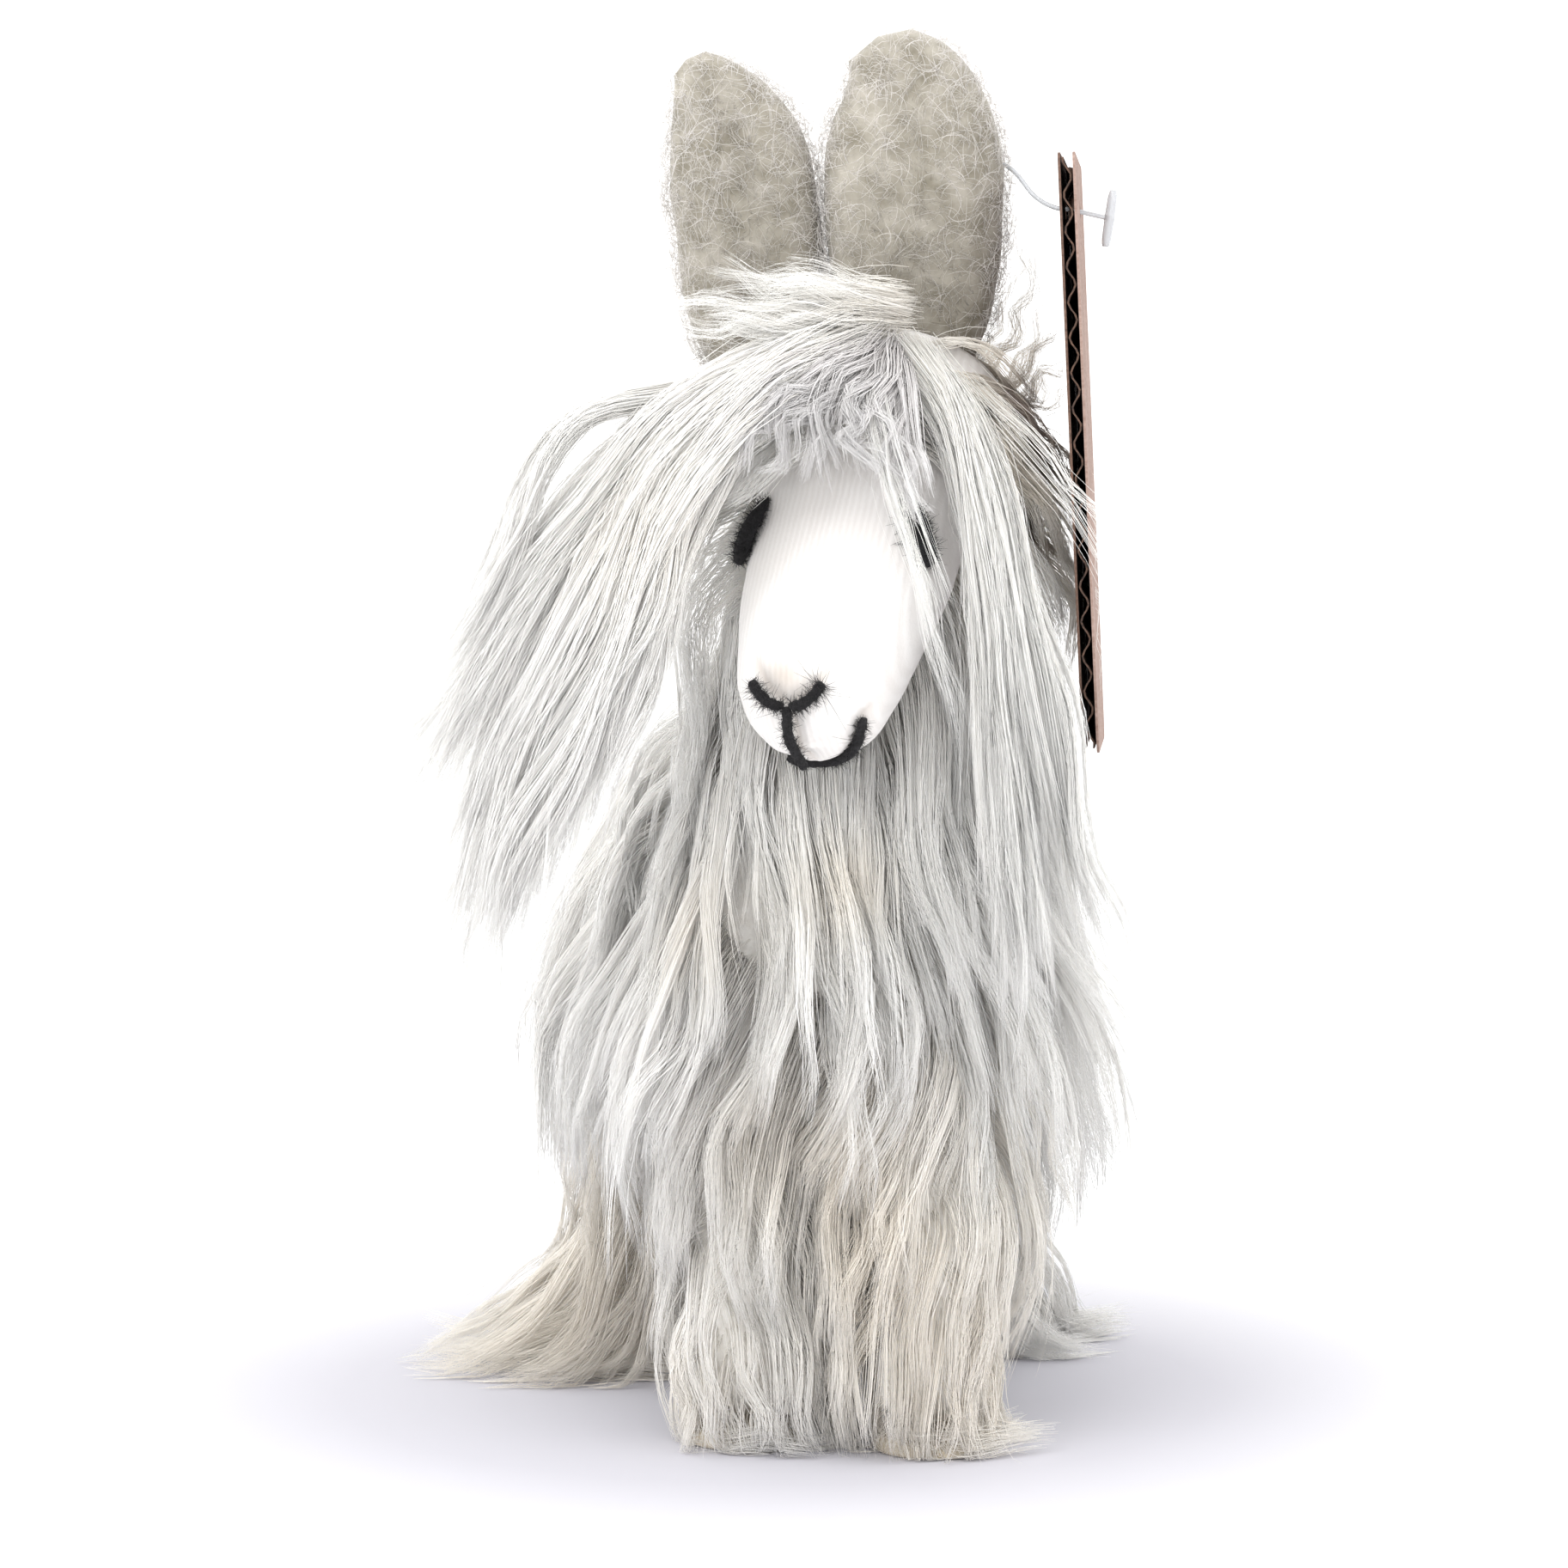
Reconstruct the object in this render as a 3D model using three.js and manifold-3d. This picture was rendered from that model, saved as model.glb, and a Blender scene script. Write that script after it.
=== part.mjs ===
// A standing soft toy alpaca in long suri fur, with a felted face, upright ears and a board swing tag.
// Millimetres, +Z up. The toy faces -Y, so its left side is +X. It stands on four sole pads at z = 0.
// Fur is part of the pelt it grows from: each pelt solid reaches out to the mean surface of its fur.
import * as THREE from "three";
import { mergeVertices } from "three/addons/utils/BufferGeometryUtils.js";
import Module from "manifold-3d";

const wasm = await Module();
wasm.setup();

// ---------------------------------------------------------------- driving dimensions
const FIT = 0.4; // clearance between soft pieces that touch
const SIDES = 14; // facets round a soft piece
const STEPS = 8; // rings along a soft piece

const SOLE_THICK = 3.6;
const SOLE_RADIUS = 12;
const PELT_CLEARANCE = 0.6; // the leg fur stops this far above the ground
// Stations of a leg's fur are [z, half width, half depth], and its foot leans outwards by [x, y].
const FRONT_FUR = [[0, 18, 18], [35, 17, 19], [70, 18, 22], [93, 17, 22]];
const REAR_FUR = [[0, 31, 32], [35, 25, 28], [75, 21, 27], [102, 18, 25]];
const LEGS = {
  front_left: { x: 18, y: -43, fur: FRONT_FUR, lean: [0, -3] },
  front_right: { x: -18, y: -32, fur: FRONT_FUR, lean: [0, -3] },
  rear_left: { x: 27, y: 60, fur: REAR_FUR, lean: [10, 5] },
  rear_right: { x: -28, y: 48, fur: REAR_FUR, lean: [-17, 5] },
};
const LEG_CORE_RADIUS = 10;
const LEG_CORE_TOP = 108;
const HIP_IN = 0.78; // how far in from its foot a leg's top stands, as a share

// Stations are [x, y, z, half width, half depth] along a piece's path.
const BODY_CORE = [[0, -48, 116, 9, 10], [0, -36, 117, 24, 24], [0, -2, 118, 29, 29], [0, 40, 118, 31, 29],
  [0, 74, 118, 26, 25], [0, 87, 118, 11, 11]];
const BODY_PELT = [[0, -62, 110, 12, 13], [0, -46, 112, 34, 31], [0, -8, 113, 46, 40], [0, 36, 113, 49, 41],
  [0, 76, 113, 42, 37], [0, 98, 114, 19, 18]];
const NECK_PELT = [[0, -28, 97, 35, 34], [0, -30, 122, 37, 36], [1, -33, 145, 34, 32], [2, -35, 166, 30, 28],
  [2, -36, 188, 25, 23]];
const TAIL_CORE = [[0, 94, 125, 4, 4], [0, 102, 122, 4.5, 4.5], [0, 107, 110, 4, 4], [0, 108, 100, 2.5, 2.5]];
const TAIL_PELT = [[0, 92, 127, 6, 6], [0, 104, 126, 12, 10], [0, 112, 110, 13, 11], [0, 113, 92, 9, 8],
  [0, 112, 80, 3, 3]];
const TAIL_PIVOT = [0, 92, 125];
const TAIL_RANGE = [-6, 35];
const TAIL_SPARE = 2; // degrees of room past the tail's range
const TAIL_SEAM = { half: 2, from: [87, 120], to: [97, 130] }; // the slit at the tail's root, as [y, z]

// The head turns about the upright axis of the neck filling and nods on its round top.
const NECK_PIVOT = [2, -36, 180];
const NECK_CORE_RADIUS = 11;
const NECK_CORE_BOTTOM = 143;
const NECK_DOME_STEPS = 5;
const TURN_RANGE = [-15, 15];
const NOD_RANGE = [-12, 6];

// The head is built level at its own origin, looking along -Y, then pitched down, turned and set on the neck.
const HEAD_AT = [7, -46, 190];
const HEAD_PITCH = 45;
const HEAD_YAW = -29;
const SKULL_RADII = [18, 19, 18];
const MUZZLE = [[0, 4, 0, 18, 16.5], [0, -14, -1, 19, 16], [0, -32, -3.5, 17, 14.6],
  [0, -46, -5.5, 14.6, 13.6], [0, -55, -6.8, 12, 11.6], [0, -60.5, -7.6, 7.6, 7.6], [0, -62.8, -7.8, 2.4, 2.4]];
const FACE_THICK = 1.8;
const FACE_SEAM_Y = -10; // the fleece face is forward of this plane, and the fur crown behind it
const CROWN_FUR = 13;

// An eye is felt on the side of the face, [y, z] giving its middle, its front end lower than its back end.
const EYE = { y: -24, z: 8, length: 15, width: 7.5, depth: 2.6, slope: 38, toe: 8, roll: 34 };
// Stitches run through points [x, z] on the front of the face.
const STITCH_RADIUS = 1.1;
const NOSTRIL = [[-1.4, 1.2], [-4.2, 2.1], [-7.2, 4]];
const PHILTRUM = [[0, 0.6], [0.4, -6], [0.2, -14.6]];
const MOUTH = [[-5.2, -14.6], [-2, -16.6], [1.4, -17], [5.6, -15.6], [9.4, -11.6], [12.2, -6]];

// The ears are lobes of short fur round a flat filling, each standing on a rounded root in the crown.
const EAR_CORE_SHARE = 0.55;
const EAR_CORE_INSET = { foot: 3, tip: 4 };
const EAR_FOOT_Z = 212.5; // the short fur ends here, inside the crown
const EAR_PIVOT_Z = 214;
const EAR_SEAT = 11.5; // radius of the hollow in the crown that an ear's root turns in
const EAR_RANGE = [-18, 18];
const EARS = {
  ear_right: { pivot: [-15, -33], stations: [[-15, -33, 210, 8, 7], [-16, -33, 220, 12, 8.5],
    [-17.5, -34, 236, 13.2, 9], [-19, -35, 250, 12.8, 8.5], [-22.5, -35.5, 260, 9, 6.5],
    [-26, -36, 265.5, 4.5, 3.5]] },
  ear_left: { pivot: [14, -38], stations: [[14, -38, 210, 9, 7.5], [14.5, -38, 220, 13, 9.5],
    [14, -39, 236, 16.2, 10.5], [13.5, -40, 252, 16.4, 10], [12, -40.5, 264, 13.4, 8],
    [10.5, -41, 271.5, 7.5, 5]] },
};

// The long locks hang free of the face and the neck.
const FRINGE = [[2, -58, 213, 12, 6], [0, -69, 205, 14, 7], [-3, -77, 193, 13, 5.5], [-6, -81, 183, 7, 3]];
const SWEEP_LOCK = [[-24, -59, 205, 5, 6], [-34, -63, 198, 10, 8], [-45, -66, 180, 19, 7.5],
  [-52, -67, 160, 26, 6.5],
  [-60, -67, 140, 23, 5.5], [-63, -65, 122, 13, 4.5], [-67, -63, 104, 4, 3]];
const FALL_LOCK = [[15, -62, 205, 4, 5], [19, -70, 197, 7, 7], [21, -75, 178, 9, 6.5],
  [21.5, -77, 150, 10, 6.5],
  [22, -76, 122, 10, 5.5], [22, -73, 97, 4, 3]];

// The swing tag is corrugated board, hung on a moulded plastic pin through the left ear. Its middle is at
// x and y, it is turned about the upright, and it leans out at its foot.
const TAG = { x: 43.5, y: -46, top: 249, height: 112, width: 54, corner: 3, turn: -10, lean: -2.6 };
const LINER = 0.45;
const BOARD = 3.2;
const FLUTE_PITCH = 6.6;
const FLUTE_PAPER = 0.35;
const TAG_HOLE = { below_top: 9.5, radius: 1.8 };
const PIN_RADIUS = 0.45;
const PIN_BAR = { length: 10.8, radius: 0.9 };
const PIN_ROOT = [26.2, -40, 250.4];
const PIN_PIVOT = [29.6, -40.2, 249.8];
const PIN_BEND = [[32.5, -41, 247.5], [36.5, -43.6, 242.4], [40, -45.4, 240.1]];
const PIN_RANGE = [-10, 5];
const PIN_END = { beyond: 5.6, ahead: 0.4, below: 1.6, lean: 8 }; // the outer bar, from the board's far face

const FAR = 400; // past every piece

// ---------------------------------------------------------------- materials
function material(color, roughness, metalness = 0) {
  return new THREE.MeshStandardMaterial({ color, roughness, metalness });
}
const suriFur = material(0xe9e8e2, 0.6);
const shortFur = material(0xcfcabc, 0.9);
const fleece = material(0xf4f2ef, 0.9);
const blackFelt = material(0x151416, 0.95);
const fibreFill = material(0xf2f2f0, 1);
const soleFelt = material(0xd9ccb4, 0.9);
const kraftBoard = material(0x8a6a56, 0.85);
const clearNylon = material(0xe8ecf0, 0.15);

// ---------------------------------------------------------------- shape helpers
const vector = (point) => new THREE.Vector3(...point);

// A closed three.js geometry as a manifold solid.
function solid(geometry) {
  const bare = geometry.clone();
  for (const name of Object.keys(bare.attributes)) {
    if (name !== "position") bare.deleteAttribute(name);
  }
  const merged = mergeVertices(bare, 1e-4);
  return new wasm.Manifold(new wasm.Mesh({
    numProp: 3,
    vertProperties: merged.attributes.position.array,
    triVerts: new Uint32Array(merged.index.array),
  }));
}

// A manifold solid as a three.js geometry.
function geometryOf(made) {
  const { vertProperties, triVerts, numProp } = made.getMesh();
  const geometry = new THREE.BufferGeometry();
  const points = new Float32Array((vertProperties.length / numProp) * 3);
  for (let i = 0; i < points.length / 3; i++) {
    for (let k = 0; k < 3; k++) points[i * 3 + k] = vertProperties[i * numProp + k];
  }
  geometry.setAttribute("position", new THREE.BufferAttribute(points, 3));
  geometry.setIndex(new THREE.BufferAttribute(new Uint32Array(triVerts), 1));
  return geometry;
}

function mesh(name, made, finish) {
  const shape = new THREE.Mesh(geometryOf(made), finish);
  shape.name = name;
  return shape;
}

// A solid of oval rings along a smooth path through its stations, grown outwards all round by `grow`.
function limb(stations, grow = 0, sides = SIDES, steps = STEPS) {
  const path = new THREE.CatmullRomCurve3(stations.map(([x, y, z]) => new THREE.Vector3(x, y, z)));
  const halves = stations.map(([, , , wide, deep]) => new THREE.Vector3(wide, deep, 0));
  const radii = new THREE.CatmullRomCurve3(halves);
  const across = new THREE.Vector3(1, 0, 0);
  const points = [];
  for (let i = 0; i <= steps; i++) {
    const t = i / steps;
    const centre = path.getPoint(t);
    const tangent = path.getTangent(t);
    const size = radii.getPoint(t);
    const wide = across.clone().addScaledVector(tangent, -across.dot(tangent)).normalize();
    const deep = new THREE.Vector3().crossVectors(tangent, wide);
    const end = i === 0 ? -1 : i === steps ? 1 : 0;
    centre.addScaledVector(tangent, end * grow);
    for (let k = 0; k < sides; k++) {
      const angle = (2 * Math.PI * k) / sides;
      points.push(centre.clone()
        .addScaledVector(wide, Math.cos(angle) * (size.x + grow))
        .addScaledVector(deep, Math.sin(angle) * (size.y + grow)));
    }
  }
  const faces = [];
  for (let i = 0; i < steps; i++) {
    for (let k = 0; k < sides; k++) {
      const a = i * sides + k;
      const b = i * sides + ((k + 1) % sides);
      faces.push(a, b, b + sides, a, b + sides, a + sides);
    }
  }
  const last = steps * sides;
  for (let k = 1; k < sides - 1; k++) faces.push(0, k + 1, k, last, last + k, last + k + 1);
  const geometry = new THREE.BufferGeometry().setFromPoints(points);
  geometry.setIndex(faces);
  return solid(geometry);
}

function ball(radii, grow = 0, segments = 16) {
  const [x, y, z] = radii.map((radius) => radius + grow);
  return solid(new THREE.SphereGeometry(1, segments, Math.round(segments * 0.6)).scale(x, y, z));
}

function box(low, high) {
  const size = vector(high).sub(vector(low));
  const centre = vector(low).add(vector(high)).multiplyScalar(0.5);
  return solid(new THREE.BoxGeometry(size.x, size.y, size.z)).translate(centre.toArray());
}

// A round rod of a given radius along a smooth path.
function rod(points, radius, sides = 8, steps = 12) {
  const section = new THREE.Shape().absarc(0, 0, radius, 0, 2 * Math.PI);
  const path = new THREE.CatmullRomCurve3(points.map(vector));
  return solid(new THREE.ExtrudeGeometry(section, { extrudePath: path, steps, curveSegments: sides / 2 }));
}

// A solid turned by degrees about an axis through a pivot.
function turned(made, pivot, axis, degrees) {
  const angle = THREE.MathUtils.degToRad(degrees);
  const spin = new THREE.Matrix4().makeRotationAxis(vector(axis).normalize(), angle);
  const there = new THREE.Matrix4().makeTranslation(vector(pivot));
  const back = new THREE.Matrix4().makeTranslation(vector(pivot).negate());
  return made.transform(there.multiply(spin).multiply(back).elements);
}

// The space that a solid passes through as its joint moves over a range.
function swept(made, pivot, axis, [low, high]) {
  return made.add(turned(made, pivot, axis, low)).add(turned(made, pivot, axis, high));
}

const mirrored = (points) => points.map(([x, ...rest]) => [-x, ...rest]);

// Only the largest body of a cut solid: a cut can leave slivers beside it.
function whole(made) {
  return made.decompose().reduce((best, piece) => (piece.volume() > best.volume() ? piece : best));
}

// ---------------------------------------------------------------- head, in its own level frame
const headTurn = new THREE.Matrix4()
  .makeTranslation(vector(HEAD_AT))
  .multiply(new THREE.Matrix4().makeRotationZ(THREE.MathUtils.degToRad(HEAD_YAW)))
  .multiply(new THREE.Matrix4().makeRotationX(THREE.MathUtils.degToRad(HEAD_PITCH)));
const onNeck = (made) => made.transform(headTurn.elements);
const headAcross = new THREE.Vector3(1, 0, 0).transformDirection(headTurn).toArray();

const headForm = (grow) => ball(SKULL_RADII, grow).add(limb(MUZZLE, grow, 16, 9));
const ahead = (y) => box([-FAR, -FAR, -FAR], [FAR, y, FAR]);
const below = (z) => box([-FAR, -FAR, -FAR], [FAR, FAR, z]);

// A round post up to the nodding axis with a domed top, flared towards its foot by an angle in degrees.
function neckPost(bottom, grow = 0, flare = 0) {
  const radius = NECK_CORE_RADIUS + grow;
  const drop = NECK_PIVOT[2] - bottom;
  const profile = [new THREE.Vector2(0, -drop),
    new THREE.Vector2(radius + drop * Math.tan(THREE.MathUtils.degToRad(flare)), -drop)];
  for (let i = 0; i < NECK_DOME_STEPS; i++) {
    const angle = (Math.PI / 2) * (i / NECK_DOME_STEPS);
    profile.push(new THREE.Vector2(radius * Math.cos(angle), radius * Math.sin(angle)));
  }
  profile.push(new THREE.Vector2(0, radius));
  return solid(new THREE.LatheGeometry(profile, 20).rotateX(Math.PI / 2)).translate(NECK_PIVOT);
}
const neckSocket = neckPost(NECK_CORE_BOTTOM, FIT * 2, Math.max(...NOD_RANGE.map(Math.abs)) + 1);

const faceOuter = headForm(FACE_THICK + FIT);
const faceLevel = faceOuter.subtract(headForm(FIT)).intersect(ahead(FACE_SEAM_Y));
const faceCover = whole(onNeck(faceLevel).subtract(neckSocket));

// Points dropped onto the level face, from the front or from one side.
const bothSides = new THREE.MeshBasicMaterial({ side: THREE.DoubleSide });
const faceMesh = new THREE.Mesh(geometryOf(faceOuter), bothSides);
faceMesh.geometry.computeVertexNormals();
const caster = new THREE.Raycaster();
function onFace(x, z, lift) {
  caster.set(new THREE.Vector3(x, -FAR, z), new THREE.Vector3(0, 1, 0));
  const hit = caster.intersectObject(faceMesh)[0];
  return hit.point.clone().addScaledVector(hit.face.normal, lift).toArray();
}
function onCheek(side, y, z) {
  caster.set(new THREE.Vector3(side * FAR, y, z), new THREE.Vector3(-side, 0, 0));
  return caster.intersectObject(faceMesh)[0].point.toArray();
}

// A felted stitch lies on the fleece along points given across and up the front of the muzzle.
const faceSkin = headForm(FACE_THICK + FIT * 2);
function stitch(points) {
  const path = points.map(([x, z]) => onFace(x, z, STITCH_RADIUS * 0.5));
  return whole(onNeck(rod(path, STITCH_RADIUS, 6, 10).subtract(faceSkin)));
}

// An eye is a pointed oval patch of felt on the side of the face.
function eyePatch(side, grow = 0) {
  return ball([EYE.depth, EYE.length / 2, EYE.width / 2], grow, 14)
    .rotate([EYE.slope, -side * EYE.roll, side * EYE.toe])
    .translate(onCheek(side, EYE.y, EYE.z));
}
const eye = (side) => whole(onNeck(eyePatch(side).subtract(faceSkin)));

const faceSpace = onNeck(faceSkin);
const crownForm = (grow) => onNeck(ball(SKULL_RADII, CROWN_FUR + grow, 20)
  .subtract(ahead(FACE_SEAM_Y + FIT - grow)));
let crown = crownForm(0).subtract(faceSpace).subtract(neckSocket);
let headStuffing = onNeck(headForm(0)).subtract(neckSocket);

// ---------------------------------------------------------------- ears
const ears = {};
for (const [name, { pivot, stations }] of Object.entries(EARS)) {
  const hinge = [...pivot, EAR_PIVOT_Z];
  const core = stations.map(([x, y, z, wide, deep]) => [x, y, z,
    wide * EAR_CORE_SHARE, deep * EAR_CORE_SHARE]);
  core[0][2] += EAR_CORE_INSET.foot;
  core[core.length - 1][2] -= EAR_CORE_INSET.tip;
  const space = swept(limb(stations, FIT * 2, 12, 7), hinge, [1, 0, 0], EAR_RANGE)
    .add(ball([EAR_SEAT, EAR_SEAT, EAR_SEAT], 0, 14).translate(hinge));
  crown = crown.subtract(space);
  ears[name] = { hinge, cover: limb(stations, 0, 12, 7), core, space };
}
// A lock starts on the crown and lies clear of the face and the eyes.
const eyeSpace = onNeck(eyePatch(1, FIT).add(eyePatch(-1, FIT)));
function lock(stations, steps = 10) {
  return whole(limb(stations, 0, 12, steps).subtract(crownForm(FIT)).subtract(faceSpace).subtract(eyeSpace));
}

// ---------------------------------------------------------------- swing tag
const tagHoleZ = TAG.top - TAG_HOLE.below_top;
const TAG_HOLE_AT = [TAG.x, TAG.y, tagHoleZ];
const barOut = [TAG.x + BOARD / 2 + PIN_END.beyond, TAG.y - PIN_END.ahead, tagHoleZ - PIN_END.below];
const pinPath = [PIN_ROOT, ...PIN_BEND, TAG_HOLE_AT, barOut];
// A bar of the pin is a short rod across the filament's end.
function pinBar(at, lean) {
  const bar = new THREE.CylinderGeometry(PIN_BAR.radius, PIN_BAR.radius, PIN_BAR.length, 8)
    .rotateX(Math.PI / 2);
  return turned(solid(bar), [0, 0, 0], [0, 1, 0], lean).translate(at);
}
const tagPin = rod(pinPath, PIN_RADIUS, 8, 18).add(pinBar(PIN_ROOT, 0)).add(pinBar(barOut, PIN_END.lean));
const pinSpace = swept(rod(pinPath, PIN_RADIUS + FIT, 6, 18)
  .add(ball([PIN_BAR.radius + 1, PIN_BAR.radius + 1, PIN_BAR.length / 2 + 2]).translate(PIN_ROOT)),
PIN_PIVOT, [0, 1, 0], PIN_RANGE);

// A sheet of the board lies in the YZ plane between two distances from its middle.
const boardOutline = new THREE.Shape();
{
  const { width, height, corner } = TAG;
  boardOutline.moveTo(corner, 0);
  boardOutline.lineTo(width - corner, 0);
  boardOutline.quadraticCurveTo(width, 0, width, corner);
  boardOutline.lineTo(width, height - corner);
  boardOutline.quadraticCurveTo(width, height, width - corner, height);
  boardOutline.lineTo(corner, height);
  boardOutline.quadraticCurveTo(0, height, 0, height - corner);
  boardOutline.lineTo(0, corner);
  boardOutline.quadraticCurveTo(0, 0, corner, 0);
}
const tagHole = solid(new THREE.CylinderGeometry(TAG_HOLE.radius, TAG_HOLE.radius, 20, 12)
  .rotateZ(Math.PI / 2)).translate(TAG_HOLE_AT);
const hang = (made) => turned(turned(made.subtract(tagHole), TAG_HOLE_AT, [0, 1, 0], TAG.lean),
  TAG_HOLE_AT, [0, 0, 1], TAG.turn);
function liner(from, thickness) {
  const cut = { depth: thickness, bevelEnabled: false, curveSegments: 3 };
  const sheet = new THREE.ExtrudeGeometry(boardOutline, cut);
  sheet.rotateX(Math.PI / 2).rotateZ(Math.PI / 2);
  return hang(solid(sheet).translate([TAG.x + from, TAG.y - TAG.width / 2, TAG.top - TAG.height]));
}
// The fluted medium is a wave of paper, its ridges running across the tag.
function flutes() {
  const wave = new THREE.Shape();
  const amplitude = BOARD / 2 - LINER - FIT / 2 - FLUTE_PAPER / 2;
  const stepsUp = Math.round((TAG.height - 2) / FLUTE_PITCH) * 6;
  const at = (i, side) => {
    const z = 1 + ((TAG.height - 2) * i) / stepsUp;
    return [amplitude * Math.sin((2 * Math.PI * z) / FLUTE_PITCH) + (side * FLUTE_PAPER) / 2, z];
  };
  wave.moveTo(...at(0, -1));
  for (let i = 0; i <= stepsUp; i++) wave.lineTo(...at(i, 1));
  for (let i = stepsUp; i > 0; i--) wave.lineTo(...at(i, -1));
  const sheet = new THREE.ExtrudeGeometry(wave, { depth: TAG.width - 1, bevelEnabled: false });
  sheet.rotateX(Math.PI / 2);
  return whole(hang(solid(sheet).translate([TAG.x, TAG.y + TAG.width / 2 - 0.5, TAG.top - TAG.height])));
}

// ---------------------------------------------------------------- torso, legs and tail
const bodyCore = limb(BODY_CORE);
const bodyPeltForm = limb(BODY_PELT, 0, 16, 8);
const nodded = (made) => swept(made, NECK_PIVOT, headAcross, NOD_RANGE);
const headSpace = (made) => swept(nodded(made), NECK_PIVOT, [0, 0, 1], TURN_RANGE);

const legs = {};
for (const [name, { x, y, fur, lean }] of Object.entries(LEGS)) {
  const core = (grow) => limb([[x, y, SOLE_THICK + FIT + grow / 2, LEG_CORE_RADIUS - 1, LEG_CORE_RADIUS - 1],
    [x, y, LEG_CORE_TOP / 2, LEG_CORE_RADIUS, LEG_CORE_RADIUS],
    [x * HIP_IN, y * HIP_IN, LEG_CORE_TOP, LEG_CORE_RADIUS, LEG_CORE_RADIUS]], grow, 12, 5);
  const stations = fur.map(([z, wide, deep]) => {
    const spread = (1 - z / LEG_CORE_TOP) ** 2;
    return [x + spread * lean[0], y + spread * lean[1], z, wide, deep];
  });
  const half = x > 0 ? box([FIT / 2, -FAR, PELT_CLEARANCE], [FAR, FAR, FAR])
    : box([-FAR, -FAR, PELT_CLEARANCE], [-FIT / 2, FAR, FAR]);
  const disc = (grow) => solid(new THREE.CylinderGeometry(SOLE_RADIUS + grow, SOLE_RADIUS + grow,
    SOLE_THICK + grow * 2, 20).rotateX(Math.PI / 2)).translate([x, y, SOLE_THICK / 2]);
  legs[name] = { core, fur: limb(stations).intersect(half), sole: disc(0), soleSpace: disc(FIT) };
}

const tailPelt = limb(TAIL_PELT, 0, 12, 8);
const tailSpace = swept(limb(TAIL_PELT, FIT * 2, 12, 8), TAIL_PIVOT, [1, 0, 0],
  [TAIL_RANGE[0] - TAIL_SPARE, TAIL_RANGE[1] + TAIL_SPARE]);
const tailCore = limb(TAIL_CORE, 0, 8, 5);

const bodyCoreSpace = limb(BODY_CORE, FIT);
const bodyPeltSpace = limb(BODY_PELT, FIT, 16, 8);
const neckHole = neckPost(NECK_CORE_BOTTOM - FIT * 3, FIT * 3);
let bodyPelt = bodyPeltForm.subtract(bodyCoreSpace).subtract(tailSpace).subtract(neckHole);
for (const leg of Object.values(legs)) bodyPelt = bodyPelt.subtract(leg.core(FIT));

const neckCap = headSpace(onNeck(ball(SKULL_RADII, CROWN_FUR + 0.6, 20))
  .add(onNeck(headForm(FACE_THICK + 1))));
const neckPelt = limb(NECK_PELT, 0, 16, 6).subtract(bodyPeltSpace).subtract(neckHole).subtract(neckCap);

// ---------------------------------------------------------------- assembly
const toy = new THREE.Group();
toy.add(mesh("body_stuffing", bodyCore.subtract(tailSpace), fibreFill));
toy.add(mesh("body_pelt", whole(bodyPelt), suriFur));
toy.add(mesh("neck_stuffing", neckPost(NECK_CORE_BOTTOM), fibreFill));
toy.add(mesh("neck_pelt", whole(neckPelt), suriFur));
for (const [name, leg] of Object.entries(legs)) {
  toy.add(mesh(`leg_${name}_stuffing`, whole(leg.core(0).subtract(bodyCoreSpace)), fibreFill));
  toy.add(mesh(`leg_${name}_pelt`,
    whole(leg.fur.subtract(leg.core(FIT)).subtract(bodyPeltSpace).subtract(leg.soleSpace)), suriFur));
  toy.add(mesh(`sole_${name}`, leg.sole, soleFelt));
}
toy.add(mesh("tail_stuffing", tailCore, fibreFill));
toy.add(mesh("tail_pelt", whole(tailPelt.subtract(limb(TAIL_CORE, FIT, 8, 5))
  .subtract(box([-TAIL_SEAM.half, ...TAIL_SEAM.from], [TAIL_SEAM.half, ...TAIL_SEAM.to]))), suriFur));

toy.add(mesh("head_stuffing", whole(headStuffing), fibreFill));
toy.add(mesh("face_cover", faceCover, fleece));
toy.add(mesh("crown_pelt", whole(crown), suriFur));
toy.add(mesh("eye_left", eye(1), blackFelt));
toy.add(mesh("eye_right", eye(-1), blackFelt));
toy.add(mesh("nostril_stitch_left", stitch(mirrored(NOSTRIL)), blackFelt));
toy.add(mesh("nostril_stitch_right", stitch(NOSTRIL), blackFelt));
toy.add(mesh("philtrum_stitch", stitch(PHILTRUM), blackFelt));
toy.add(mesh("mouth_stitch", stitch(MOUTH), blackFelt));
toy.add(mesh("fringe", lock(FRINGE, 6), suriFur));
toy.add(mesh("forelock_sweep", lock(SWEEP_LOCK), suriFur));
toy.add(mesh("forelock_fall", lock(FALL_LOCK), suriFur));

for (const [name, { cover, core }] of Object.entries(ears)) {
  let shell = cover.subtract(limb(core, FIT, 10, 5)).subtract(below(EAR_FOOT_Z));
  if (name === "ear_left") shell = shell.subtract(pinSpace);
  toy.add(mesh(`${name}_cover`, whole(shell), shortFur));
  toy.add(mesh(`${name}_stuffing`, limb(core, 0, 10, 5), fibreFill));
}

toy.add(mesh("tag_pin", tagPin, clearNylon));
toy.add(mesh("tag_inner_liner", liner(-BOARD / 2, LINER), kraftBoard));
toy.add(mesh("tag_flutes", flutes(), kraftBoard));
toy.add(mesh("tag_outer_liner", liner(BOARD / 2 - LINER, LINER), kraftBoard));

// The origin is the middle of the base of the toy's bounding box.
const bounds = new THREE.Box3().setFromObject(toy);
toy.position.set(-(bounds.min.x + bounds.max.x) / 2, -(bounds.min.y + bounds.max.y) / 2, -bounds.min.z);

export default toy;
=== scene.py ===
import math

import bpy
import numpy as np
from mathutils import Matrix, Vector


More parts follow.
